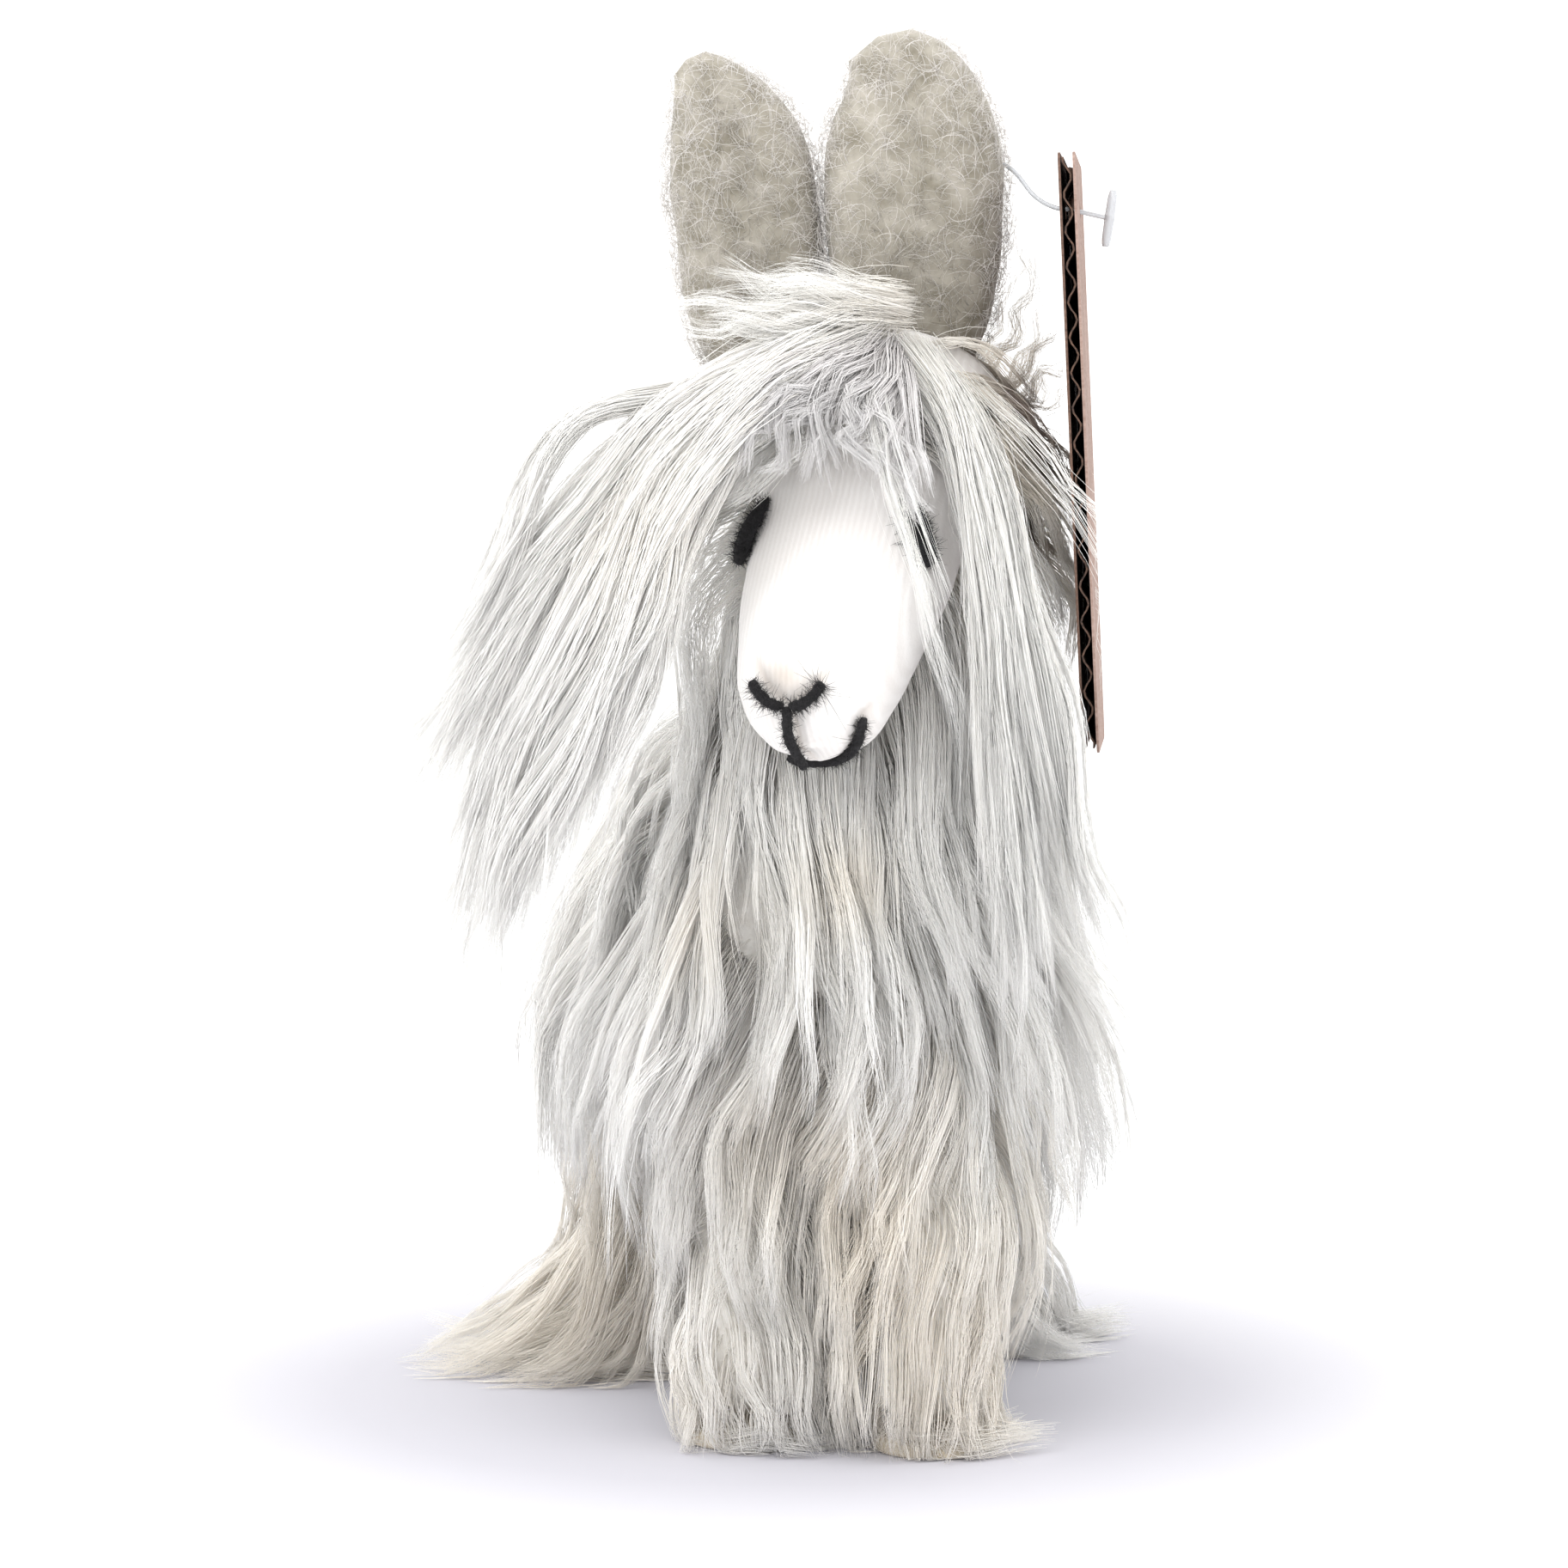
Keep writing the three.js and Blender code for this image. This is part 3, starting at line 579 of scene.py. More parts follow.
def face_profile(y):
    """Centre height and half sizes of the fleece skin at a place along the level head."""
    table = spline(MUZZLE + [[0, -64.9, -7.9, -1.2, -1.2]], 120)
    table = table[np.argsort(table[:, 1])]
    proud = np.interp(y, [-64, -52, -40], [1.2, 1.4, 2.0])
    a = np.interp(y, table[:, 1], table[:, 3]) + proud
    b = np.interp(y, table[:, 1], table[:, 4]) + proud
    c = np.interp(y, table[:, 1], table[:, 2])
    skull_r = np.sqrt(np.maximum(20.2 ** 2 - (np.clip(y, -20.1, 20.1)) ** 2, 0))
    a2, b2 = np.maximum(a, skull_r), np.maximum(b, skull_r)
    fade = np.clip((y + 22) / 16, 0, 1)
    return c * (1 - fade), a * (1 - fade) + a2 * fade, b * (1 - fade) + b2 * fade


class Face:
    """The fleece face as something that hair lies on."""

    def push(self, p, layer):
        local = to_head(p)
        c, a, b = face_profile(np.clip(local[:, 1], -64, 19))
        rel = np.stack([local[:, 0] / (a + layer + 0.8), (local[:, 2] - c) / (b + layer + 0.8)], -1)
        far = np.linalg.norm(rel, axis=1)
        inside = (far < 1) & (local[:, 1] > -66) & (local[:, 1] < 8)
        rel = rel / np.maximum(far, 1e-3)[:, None]
        moved = local.copy()
        moved[inside, 0] = (rel[:, 0] * (a + layer + 0.8))[inside]
        moved[inside, 2] = (c + rel[:, 1] * (b + layer + 0.8))[inside]
        return from_head(moved)


face_form = Face()


# ------------------------------------------------------------------ hides under the fur
def skin(name, stations, body, nodes, sides=40, rings=60, wobble=0.9):
    verts, quads, tris = loft(stations, rings, sides, wobble, seeded(name))
    ob = make_object(name, verts, [quads, tris], hide)
    place(ob, body, "suri_fur", nodes)


def scaled(stations, share):
    return [[x, y, z, a * share, b * share] for x, y, z, a, b in stations]


skin("torso_hide", scaled(BODY_PELT, BODY_HIDE), "torso", ["body_stuffing", "body_pelt"])
skin("neck_hide", scaled(NECK_PELT, NECK_HIDE)[:-1] + [[2, -36, 183, 13, 13]], "torso",
     ["neck_stuffing", "neck_pelt"])
for _name, _form in leg_forms.items():
    _q = np.linspace(9, 100, 9)
    _c, _r = _form.section(_q)
    _rows = [[c[0], c[1], q, r[0], r[1]] for q, c, r in zip(_q, _c, _r)]
    skin(f"leg_hide_{_name}", _rows, "torso", [f"leg_{_name}_stuffing", f"leg_{_name}_pelt"], 28, 40)
skin("tail_hide", TAIL_CORE, "tail", ["tail_stuffing", "tail_pelt"], 20, 24, wobble=0.3)


# ------------------------------------------------------------------ body, neck, legs and tail fur
def comb_body(p):
    """Away from the spine, a little towards the tail, with the chest going forward."""
    side = np.sign(p[:, 0] + 1e-6) * np.minimum(1, np.abs(p[:, 0]) / 20)
    back = np.where(p[:, 1] > 55, 0.5, 0.15)
    back = np.where(p[:, 1] < -30, -0.35, back)
    return np.stack([side * np.where(side < 0, 0.1, 0.25), back, np.full(len(p), -0.5)], -1)


def comb_neck(p):
    rel = p[:, :2] - np.array([1.0, -33.0])
    out = unit(rel)
    return np.stack([out[:, 0] * 0.12, out[:, 1] * 0.2 - 0.05, np.full(len(p), -0.6)], -1)


front_legs = [leg_forms["front_left"], leg_forms["front_right"]]
rear_legs = [leg_forms["rear_left"], leg_forms["rear_right"]]
coat("torso_fur", body_form, "torso", 12500, 240, (44, 70), comb_body, [body_form], 4.0, lift=0.3,
     skip=[lambda p: neck_form.holds(p, 1)], waves=(1.7, 40.0))
coat("neck_fur", neck_form, "torso", 13000, 190, (44, 74), comb_neck, [neck_form, body_form, face_form],
     6.0, lift=0.45, skip=[lambda p: p[:, 2] > 182], waves=(2.2, 40.0))
for _name, _form in leg_forms.items():
    _leg = LEGS[_name]
    _front = _name.startswith("front")

    def comb_leg(p, x=_leg["x"], y=_leg["y"], lean=_leg["lean"], front=_front):
        out = unit(p[:, :2] - np.array([x, y]))
        low = np.clip(1 - p[:, 2] / 45, 0, 1)[:, None]
        if front:
            push = out * (0.04 - 0.2 * low)
        else:
            push = out * (0.1 + 0.4 * low) + np.array(lean)[None] * 0.12 * low
        return np.concatenate([push, np.full((len(p), 1), -0.35)], 1)

    def reach_leg(p, front=_front):
        return 14 + p[:, 2] * 0.85 if front else 30 + p[:, 2] * 0.9

    coat(f"leg_fur_{_name}", _form, "torso", 4500 if _front else 6300, 120, (38, 62), comb_leg,
         [_form], 2.0 if _front else 9.0, lift=0.35 if _front else 0.9,
         skip=[lambda p: body_form.holds(p, -3)],
         base=0.04 + _leg["tint"] * 0.26, waves=(1.8, 28.0), reach=reach_leg)
tail_form = Form([[0, 90, 126, 4.2, 4.2], [0, 96, 124, 5.2, 5.2], [0, 102, 121, 5.4, 5.4],
                  [0, 107.5, 112, 5, 5],
                  [0, 109.5, 102, 3, 3]], 1)
coat("tail_fur", tail_form, "tail", 2400, 70, (24, 40),
     lambda p: np.stack([np.sign(p[:, 0]) * 0.1, np.full(len(p), 0.35), np.full(len(p), -0.2)], -1), [], 2.0)


# ------------------------------------------------------------------ head
def cad_points(node):
    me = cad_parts[node].data
    co = np.zeros(len(me.vertices) * 3)
    me.vertices.foreach_get("co", co)
    return co.reshape(-1, 3) / MM - SHIFT


FACE_RINGS, FACE_SIDES = 110, 120
FACE_FRONT = -38  # the stitches are sewn ahead of this
NOSTRIL = [[-1.4, 1.2], [-4.2, 2.1], [-7.2, 4]]
PHILTRUM = [[0, 0.6], [0.4, -6], [0.2, -14.6]]
MOUTH = [[-5.2, -14.6], [-2, -16.6], [1.4, -17], [5.6, -15.6], [9.4, -11.6], [12.2, -6]]
STITCHES = [NOSTRIL, [[-x, z] for x, z in NOSTRIL], PHILTRUM, MOUTH]


ys = np.concatenate([np.linspace(19.5, -50, 70), -50 - 14.6
                     * np.sin(np.linspace(0, np.pi / 2, FACE_RINGS - 69))[1:]])
_nose_c, _a, _b = face_profile(np.clip(ys, -64.6, 19.9))
_turn = np.arange(FACE_SIDES) * 2 * np.pi / FACE_SIDES
face_local = np.stack([_a[:, None] * np.cos(_turn), np.repeat(ys[:, None], FACE_SIDES, 1),
                       _nose_c[:, None] + _b[:, None] * np.sin(_turn)], -1)


def stitch_dent(p):
    """How near points on the front of the face are to its stitches, from 0 to 1."""
    near = np.zeros(p.shape[:-1])
    for line in STITCHES:
        path = spline(line, 24)
        d = np.sqrt(((p[..., None, [0, 2]] - path[None, None]) ** 2).sum(-1)).min(-1)
        near = np.maximum(near, np.exp(-(d / 1.5) ** 2))
    return near * (p[..., 1] < FACE_FRONT)


_dent = stitch_dent(face_local)
_centre = np.stack([0 * ys, ys + 8, _nose_c], -1)[:, None]
face_local = face_local - unit(face_local - _centre) * (_dent * 0.9)[..., None]


def thread(node, line, count=48):
    """The middle of a CAD stitch along its drawn line, in the head's level frame."""
    cad = to_head(cad_points(node))
    flat = spline(line, count)
    near = np.exp(-((cad[None][..., [0, 2]] - flat[:, None]) ** 2).sum(-1) / 0.8 ** 2)
    deep = (near * cad[None, :, 1]).sum(1) / np.maximum(near.sum(1), 1e-9)
    known = near.sum(1) > 0.5
    steps = np.arange(count)
    deep = np.interp(steps, steps[known], deep[known])
    for _ in range(3):
        deep[1:-1] = (deep[:-2] + 2 * deep[1:-1] + deep[2:]) / 4
    return np.stack([flat[:, 0], deep, flat[:, 1]], -1)


# The skin is pushed in under each stitch, so that the yarn lies in a furrow.
SEWN = {node: thread(node, line) for node, line in zip(
    ("nostril_stitch_right", "nostril_stitch_left", "philtrum_stitch", "mouth_stitch"), STITCHES)}
_sewn = np.concatenate(list(SEWN.values()))
_flat = face_local.reshape(-1, 3)
_outward = unit(face_local - _centre).reshape(-1, 3)
for _i in np.nonzero(_flat[:, 1] < FACE_FRONT)[0]:
    _gap = _sewn - _flat[_i]
    _high = _gap @ _outward[_i]
    _aside = ((_gap - _high[:, None] * _outward[_i]) ** 2).sum(1)
    _weight = np.exp(-_aside / 1.1 ** 2) * (np.abs(_high) < 4)
    if _weight.max() > 0.05:
        _rise = (_weight * _high).sum() / _weight.sum() - 0.2
        _flat[_i] += _outward[_i] * min(0.0, _rise) * min(1.0, _weight.max() * 1.6)
face_local = _flat.reshape(face_local.shape)
_lump = seeded("face").normal(size=(FACE_RINGS, FACE_SIDES))
for _ in range(14):
    _lump = (_lump + np.roll(_lump, 1, 1) + np.roll(_lump, -1, 1)) / 3
    _lump[1:-1] = (_lump[1:-1] + _lump[2:] + _lump[:-2]) / 3
face_local = face_local + unit(face_local - _centre) * (_lump * 1.6)[..., None]
_n = FACE_RINGS * FACE_SIDES
_i, _j = ring_grid(FACE_RINGS, FACE_SIDES)
_quads = np.stack([_i, _i + FACE_SIDES, _j + FACE_SIDES, _j], -1).reshape(-1, 4)
_k = np.arange(FACE_SIDES)
_ends = np.array([[0, 20.2, 0], [0, -64.4, _nose_c[-1]]])
_caps = np.vstack([np.stack([np.full(FACE_SIDES, _n), _k, (_k + 1) % FACE_SIDES], -1),
                   np.stack([np.full(FACE_SIDES, _n + 1), _n - FACE_SIDES + (_k + 1) % FACE_SIDES,
                             _n - FACE_SIDES + _k], -1)])
face_verts = np.vstack([face_local.reshape(-1, 3), _ends])

fleece, _tree, _shader = nodes_of("ribbed_fleece", 0.92, Sheen_Weight=0.25, Sheen_Roughness=0.5)
_coords = add(_tree, "ShaderNodeTexCoord")
_map = add(_tree, "ShaderNodeMapping")
_map.inputs["Rotation"].default_value = (0, 0, math.radians(-HEAD_YAW))
_tree.links.new(_coords.outputs["Object"], _map.inputs["Vector"])
_rib = add(_tree, "ShaderNodeTexWave", wave_type="BANDS", bands_direction="X", Scale=260.0, Distortion=1.2,
           Detail=2.0)
_rib.inputs["Detail Scale"].default_value = 3.0
_tree.links.new(_map.outputs[0], _rib.inputs["Vector"])
_nap = noise(_tree, 1400, 4)
_soft = ramp(_tree, noise(_tree, 60, 2), [(0.3, (0.77, 0.745, 0.73)), (0.7, (0.81, 0.795, 0.785))])
_lines = ramp(_tree, _rib.outputs["Fac"], [(0.2, (0.955, 0.95, 0.945)), (0.8, (1.0, 1.0, 1.0))])
_tone = mixed(_tree, 1.0, _soft, _lines, "MULTIPLY")
# The face is tinted brown by a stain by the nose and, along the stitch furrows, by painted shade.
_stain_and_furrow_shade = add(_tree, "ShaderNodeAttribute", attribute_name="tint")
_tree.links.new(mixed(_tree, _stain_and_furrow_shade.outputs["Fac"], _tone, (0.42, 0.34, 0.27)), _shader.inputs["Base Color"])
_high = mixed(_tree, 0.5, _rib.outputs["Color"], _nap)
bumped(_tree, _shader, _high, 0.35, 0.0004)
_near_nose = np.exp(-((face_verts[:, 0] + 1) / 4.5) ** 2 - ((face_verts[:, 2] - 4.2) / 2.6) ** 2)
_near_nose = _near_nose * (face_verts[:, 1] < -45) * 0.55
face_tint = np.clip(_near_nose + 0.35 * np.concatenate([_dent.ravel() ** 2, [0, 0]]), 0, 1)
face = make_object("face_fleece", from_head(face_verts), [_quads, _caps], fleece, tint=face_tint)
place(face, "head", "fleece", ["face_cover", "head_stuffing"])


def fuzz(surface_points, normals, length, rng, keep=4, curl=0.5, thick=0.06):
    """Short fibres standing off a surface, bent over by a random curl."""
    n = len(surface_points)
    s = np.linspace(0, 1, keep)
    size = (length * rng.uniform(0.5, 1.25, n))[:, None, None]
    bend = unit(rng.normal(size=(n, 3))) * curl
    path = (surface_points[:, None] + normals[:, None] * s[None, :, None] * size * 0.8
            + bend[:, None] * (s[None, :, None] ** 1.6) * size)
    radii = thick * rng.uniform(0.7, 1.3, (n, 1)) * (1 - 0.7 * s[None] ** 1.5)
    return path, radii


def matted(surface_points, normals, length, rng, keep=6, rise=1.3, thick=0.055):
    """Fibres felted along a surface: long shallow arcs, curled in the plane of the surface."""
    n = len(surface_points)
    s = np.linspace(0, 1, keep)[None]
    size = length * rng.uniform(0.4, 1.3, n)[:, None]
    along = unit(np.cross(normals, rng.normal(size=(n, 3)) + np.array([0.9, 0, 0])))
    across = np.cross(normals, along)
    turn = rng.uniform(-2.6, 2.6, n)[:, None]
    steps = size / (keep - 1)
    forward = np.cumsum(np.cos(turn * s), 1) * steps
    aside = np.cumsum(np.sin(turn * s), 1) * steps
    up = 0.25 + rise * rng.uniform(0.3, 1.2, (n, 1)) * np.sin(np.pi * np.clip(s * 0.8 + 0.1, 0, 1))
    path = (surface_points[:, None] + along[:, None] * forward[..., None]
            + across[:, None] * aside[..., None] + normals[:, None] * up[..., None])
    return path, thick * rng.uniform(0.7, 1.3, (n, 1)) * (1 - 0.5 * s)


def on_mesh(verts, quads, count, rng):
    """Random points on quads, with their normals."""
    a, b, c, d = (verts[quads[:, i]] for i in range(4))
    cross = np.cross(c - a, d - b)
    area = np.linalg.norm(cross, axis=1)
    pick = rng.choice(len(quads), count, p=area / area.sum())
    u, v = rng.random((count, 1)), rng.random((count, 1))
    p = (a[pick] * (1 - u) + b[pick] * u) * (1 - v) + (d[pick] * (1 - u) + c[pick] * u) * v
    return p, unit(cross[pick])


# the nap of the fleece, as very short fibres
_rng = seeded("nap")
_p, _nrm = on_mesh(face_verts, _quads, int(9000 * DENSITY), _rng)
_fit = (_p[:, 1] < -6)
_path, _radii = fuzz(from_head(_p[_fit]), _nrm[_fit] @ HEAD_NP[:3, :3].T, 0.55, _rng, keep=3, curl=0.7,
                     thick=0.035)
_v, _q, _t = tube_arrays(_path, _radii)
nap = make_object("face_nap", _v, [_q, _t], fleece, tint=np.zeros(len(_v)))
place(nap, "head", "fleece")


# ------------------------------------------------------------------ felt eyes and stitches
def rounded(node, voxel=0.35):
    """A CAD felt piece with its edges softened: points, normals, quads and triangles."""
    ob = bpy.data.objects.new("felt_source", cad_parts[node].data.copy())
    ob.data.materials.clear()
    bpy.context.scene.collection.objects.link(ob)
    remesh = ob.modifiers.new("remesh", "REMESH")
    remesh.mode = "VOXEL"
    remesh.voxel_size = voxel * MM
    smooth = ob.modifiers.new("smooth", "SMOOTH")
    smooth.factor = 0.5
    smooth.iterations = 3
    done = bpy.data.meshes.new_from_object(ob.evaluated_get(bpy.context.evaluated_depsgraph_get()))
    bpy.data.objects.remove(ob)
    co = np.zeros(len(done.vertices) * 3)
    done.vertices.foreach_get("co", co)
    nrm = np.zeros(len(done.vertices) * 3)
    done.vertices.foreach_get("normal", nrm)
    quads = np.array([list(p.vertices) for p in done.polygons if len(p.vertices) == 4])
    tris = np.array([list(p.vertices) for p in done.polygons if len(p.vertices) == 3]).reshape(-1, 3)
    return co.reshape(-1, 3) / MM - SHIFT, nrm.reshape(-1, 3), quads, tris


def yarn(node, radius=0.95, sides=14):
    """A laid strand of felted yarn along a CAD stitch, thinner at its ends."""
    path = from_head(SEWN[node])
    if node.startswith("nostril"):
        path = np.vstack([path[:1] + (path[0] - path[4]) * 1.6, path])
    elif node.startswith("philtrum"):
        path = np.vstack([path[:1] + (path[0] - path[2]) * 0.8, path[:-6]])
    s = np.linspace(0, 1, len(path))
    radii = radius * np.minimum(1, 0.62 + 7 * np.minimum(s, 1 - s)) * (1 + 0.08 * np.sin(s * 40))
    co, quads, tris = tube_arrays(path[None], radii[None], sides)
    return co, unit(co - np.repeat(path, sides, 0)), quads, tris


def felted(shape, node, fibres, length, stray=None):
    """A felt piece with fibres standing off it, and a tuft given as (place, fibres, length)."""
    co, nrm, quads, tris = shape
    label = "felt_" + node.replace("_stitch", "")
    rng = seeded(label)
    co = co + nrm * rng.normal(0, 0.05, (len(co), 1))
    p, n = on_mesh(co, quads, fibres, rng)
    path, radii = fuzz(p, n, length, rng, keep=4, curl=0.9, thick=0.05)
    if stray:
        where, count, reach = stray
        near = np.argsort(((co - where) ** 2).sum(1))[:60]
        pick = rng.choice(near, count)
        far, fat = fuzz(co[pick], nrm[pick], reach, rng, keep=4, curl=1.1, thick=0.05)
        path, radii = np.concatenate([path, far]), np.concatenate([radii, fat])
    v, q, t = tube_arrays(path, radii)
    start = len(co)
    faces = [part for part in (quads, tris, q + start, t + start) if len(part)]
    place(make_object(label, np.vstack([co, v]), faces, black_felt), "head", "black_felt", [node])


for _node in ("eye_left", "eye_right"):
    felted(rounded(_node), _node, 900, 1.3)
for _node, _fibres, _length, _stray in (
        ("nostril_stitch_left", 420, 1.3, ((-8, -95, 154), 22, 4.5)),
        ("nostril_stitch_right", 420, 1.2, ((-20, -92, 153), 10, 3.5)),
        ("philtrum_stitch", 420, 1.0, ((-15, -96, 147), 8, 3)),
        ("mouth_stitch", 700, 1.0, ((-16, -92, 137), 16, 3.5))):
    felted(yarn(_node), _node, _fibres, _length, _stray)


# ------------------------------------------------------------------ ears
EAR_RINGS, EAR_SIDES, EAR_FIBRES, EAR_MATTED = 64, 64, 5900, 3000
for _name, _stations in EARS.items():
    _rng = seeded(_name)
    _v, _q, _t = loft(_stations, EAR_RINGS, EAR_SIDES, 0.5, _rng, power=2.3)
    # the front of each ear is a little hollow
    _mid = spline(_stations, EAR_RINGS)
    _ring = np.arange(EAR_RINGS * EAR_SIDES) // EAR_SIDES
    _rel = _v[:len(_ring)] - _mid[_ring, :3]
    _front = (np.clip(-_rel[:, 1] / _mid[_ring, 4], 0, 1)
              * np.exp(-(_rel[:, 0] / (_mid[_ring, 3] * 0.45)) ** 2))
    _v[:len(_ring), 1] += _front * 1.6
    ear = make_object(f"{_name}_skin", _v, [_q, _t], ear_skin)
    place(ear, _name, "short_fur", [f"{_name}_cover", f"{_name}_stuffing"])
    _p, _nrm = on_mesh(_v, _q, int(EAR_FIBRES * DENSITY), _rng)
    _top = EAR_RINGS - 1
    _level = ((_p[:, 2] - _mid[0, 2]) / (_mid[-1, 2] - _mid[0, 2]) * _top).astype(int)
    _out = _p - _mid[np.clip(_level, 0, _top), :3]
    _nrm = _nrm * np.sign((_nrm * _out).sum(1, keepdims=True))
    _down = int(EAR_MATTED * DENSITY)
    _path, _radii = matted(_p[:_down], _nrm[:_down], 6.5, _rng)
    _far, _fat = fuzz(_p[_down:], _nrm[_down:] * 0.5, 3.0, _rng, keep=6, curl=0.9, thick=0.058)
    _path, _radii = np.concatenate([_path, _far]), np.concatenate([_radii, _fat])
    _vv, _qq, _tt = tube_arrays(_path, _radii)
    _at = _path[:, 0]
    _cloud = np.sin(_at[:, 0] * 0.55 + 2 * np.sin(_at[:, 2] * 0.21)) * np.sin(_at[:, 2] * 0.4 + 1)
    _across, _half = (np.interp(_at[:, 2], _mid[:, 2], _mid[:, column]) for column in (0, 3))
    _rim = np.abs(_at[:, 0] - _across) / _half
    # The fibres darken in slow clouds, the ear's own mottling, and grow paler towards the top of the ear;
    # paler towards the rim is a painted halo of light.
    _shade = 0.75 + 0.3 * _cloud - 0.5 * _rim ** 2 - 0.008 * (_at[:, 2] - 215)
    _shade = np.clip(_shade + _rng.normal(0, 0.2, len(_path)), 0, 1)
    _tint = np.repeat(_shade, _path.shape[1] * FIBRE_SIDES)
    place(make_object(f"{_name}_fuzz", _vv, [_qq, _tt], short_fur, tint=_tint), _name, "short_fur")


# ------------------------------------------------------------------ long locks of the head
LINE_POINTS = 18


def fan(name, lines, locks, count, nodes=(), spread=4.0, depth=5.0, keep=12, base=0.02,
        root=0.15, waves=(1.6, 40.0), bias=1.0, mat=suri, **more):
    """Locks between neighbouring guide lines, each line a list of points from root to tip."""
    rng = seeded(name)
    table = np.stack([spline(line, LINE_POINTS) for line in lines])
    u = ((np.arange(locks) + rng.random(locks)) / locks) ** bias * (len(lines) - 1)
    i = np.clip(u.astype(int), 0, len(lines) - 2)
    f = (u - i)[:, None, None]
    guides = table[i] * (1 - f) + table[i + 1] * f
    s = np.linspace(0, 1, LINE_POINTS)
    shove = rng.normal(size=(locks, 3)) * np.array([1.5, 1, 1.5]) * spread * 0.5
    guides = guides + shove[:, None] * (0.4 + 0.9 * s)[None, :, None]
    guides[..., 1] += ((rng.uniform(-1, 1, locks) * depth)[:, None]
                       * np.sin(np.pi * np.minimum(1, 0.15 + s))[None])
    side = unit(np.cross(guides[:, -1] - guides[:, 0], rng.normal(size=(locks, 3))))
    size = np.linalg.norm(np.diff(guides, axis=1), axis=-1).sum(1)
    turn = (2 * np.pi * s[None] * (size / waves[1] / rng.uniform(0.7, 1.4, locks))[:, None]
            + rng.uniform(0, 6.28, (locks, 1)))
    guides = guides + side[:, None] * (np.sin(turn) * waves[0] * np.minimum(1, 2 * s)[None])[..., None]
    total = int(count * DENSITY)
    owner = rng.integers(0, locks, total)
    off = rng.normal(size=(total, 3)) * spread * np.array([0.6, 0.5, 0.6])
    roots = guides[owner, 0] + off
    path, radii = strands(guides, roots, owner, rng, keep=keep, **more)
    for k in range(1, path.shape[1]):
        path[:, k] = face_form.push(path[:, k], np.full(total, 0.6))
    fur_pieces(name, path, radii, owner, "head", nodes, base, root, mat)


OUTER = [
    [(-14, -62, 209), (-33, -67, 205), (-50, -70, 202), (-60, -71, 192), (-65, -71, 178), (-72, -70, 164),
     (-78, -69, 156)],
    [(-12, -64, 208), (-31, -68, 204), (-49, -71, 200), (-58, -72, 190), (-63, -72, 177), (-70, -71, 163),
     (-77, -69, 153)],
]
SWEEP = [
    [(4, -58, 214), (-12, -65, 211), (-27, -69, 204), (-41, -71, 196), (-51, -71, 183), (-61, -70, 167),
     (-73, -68, 150),
     (-86, -66, 137)],
    [(2, -61, 213), (-14, -67, 209), (-31, -71, 201), (-46, -73, 186), (-60, -72, 167), (-69, -70, 147),
     (-77, -68, 128)],
    [(0, -64, 213), (-18, -71, 207), (-35, -75, 195), (-48, -76, 174), (-58, -75, 152), (-66, -72, 130),
     (-72, -70, 108)],
    [(-2, -66, 211), (-20, -74, 202), (-34, -78, 186), (-44, -78, 164), (-54, -76, 141), (-63, -74, 119),
     (-67, -72, 97)],
    [(-4, -66, 209), (-21, -75, 198), (-32, -80, 181), (-39, -80, 162), (-46, -78, 145), (-53, -76, 128)],
]
FALL = [
    [(9, -68, 211), (16, -79, 200), (21, -84, 182), (21.5, -86, 158), (22, -86, 130), (25, -83, 102),
     (24, -81, 80)],
    [(10, -67, 212), (18, -77, 198), (23, -82, 176), (26, -84, 150), (30, -83, 122), (34, -79, 96)],
    [(12, -65, 212), (21, -73, 200), (28, -78, 180), (35, -81, 152), (41, -80, 122), (48, -74, 100)],
]
VEIL = [
    [(5, -66, 213), (1, -78, 205), (1.5, -84, 197), (4, -88, 186), (9, -91, 168), (13, -91, 155),
     (17, -89, 141)],
    [(7, -66, 213), (4, -78, 204), (4.5, -84, 196), (6.5, -88, 185), (12, -91, 168), (16, -90, 150),
     (20, -87, 123)],
]
FRINGE = [
    [(3, -64, 214), (-9, -72, 210), (-18, -76, 205), (-26, -78, 198), (-32, -79, 189)],
    [(4, -65, 213), (-5, -75, 208), (-13, -79, 203), (-19, -81, 197), (-24, -82, 190)],
    [(6, -66, 213), (2, -77, 207), (-2, -82, 201), (-1, -85, 195), (3, -88, 189)],
    [(8, -66, 212), (9, -77, 204), (10, -83, 196), (12, -86, 189), (14, -88, 182)],
]
TOPKNOT = [
    [(9, -59, 222), (-5, -63, 224), (-17, -62, 226), (-27, -57, 230)],
    [(7, -62, 219), (-8, -67, 220), (-22, -67, 220), (-35, -62, 221)],
    [(5, -63, 215), (-8, -69, 216), (-24, -70, 215), (-39, -67, 212)],
]
STRAYS = [
    [(24, -30, 206), (31, -31, 214), (35, -30, 224), (36, -28, 235)],
    [(26, -30, 202), (34, -31, 207), (39, -30, 214), (41, -28, 221)],
    [(26, -34, 198), (35, -36, 200), (41, -37, 203), (45, -36, 199)],
]
ACROSS = [
    [(20, -70, 207), (32, -84, 193), (41, -94, 181), (44, -95, 166), (45, -94, 150)],
    [(22, -70, 203), (33, -85, 188), (40, -94, 174), (42, -95, 160), (43, -93, 144)],
]
fan("forelock_outer_fur", OUTER, 8, 700, keep=13, clump=0.5, wander=2.6, spread=1.8, depth=1.5,
    waves=(1.2, 50.0), cut=(0.7, 1.06), thick=0.07)
fan("forelock_sweep_fur", SWEEP, 60, 9400, ["forelock_sweep"], keep=13, clump=0.62, wander=4.0,
    spread=3.6, depth=6.0, waves=(2.2, 56.0), frizz=0.2, crimp=44, cut=(0.74, 1.08), wisp=0.45)
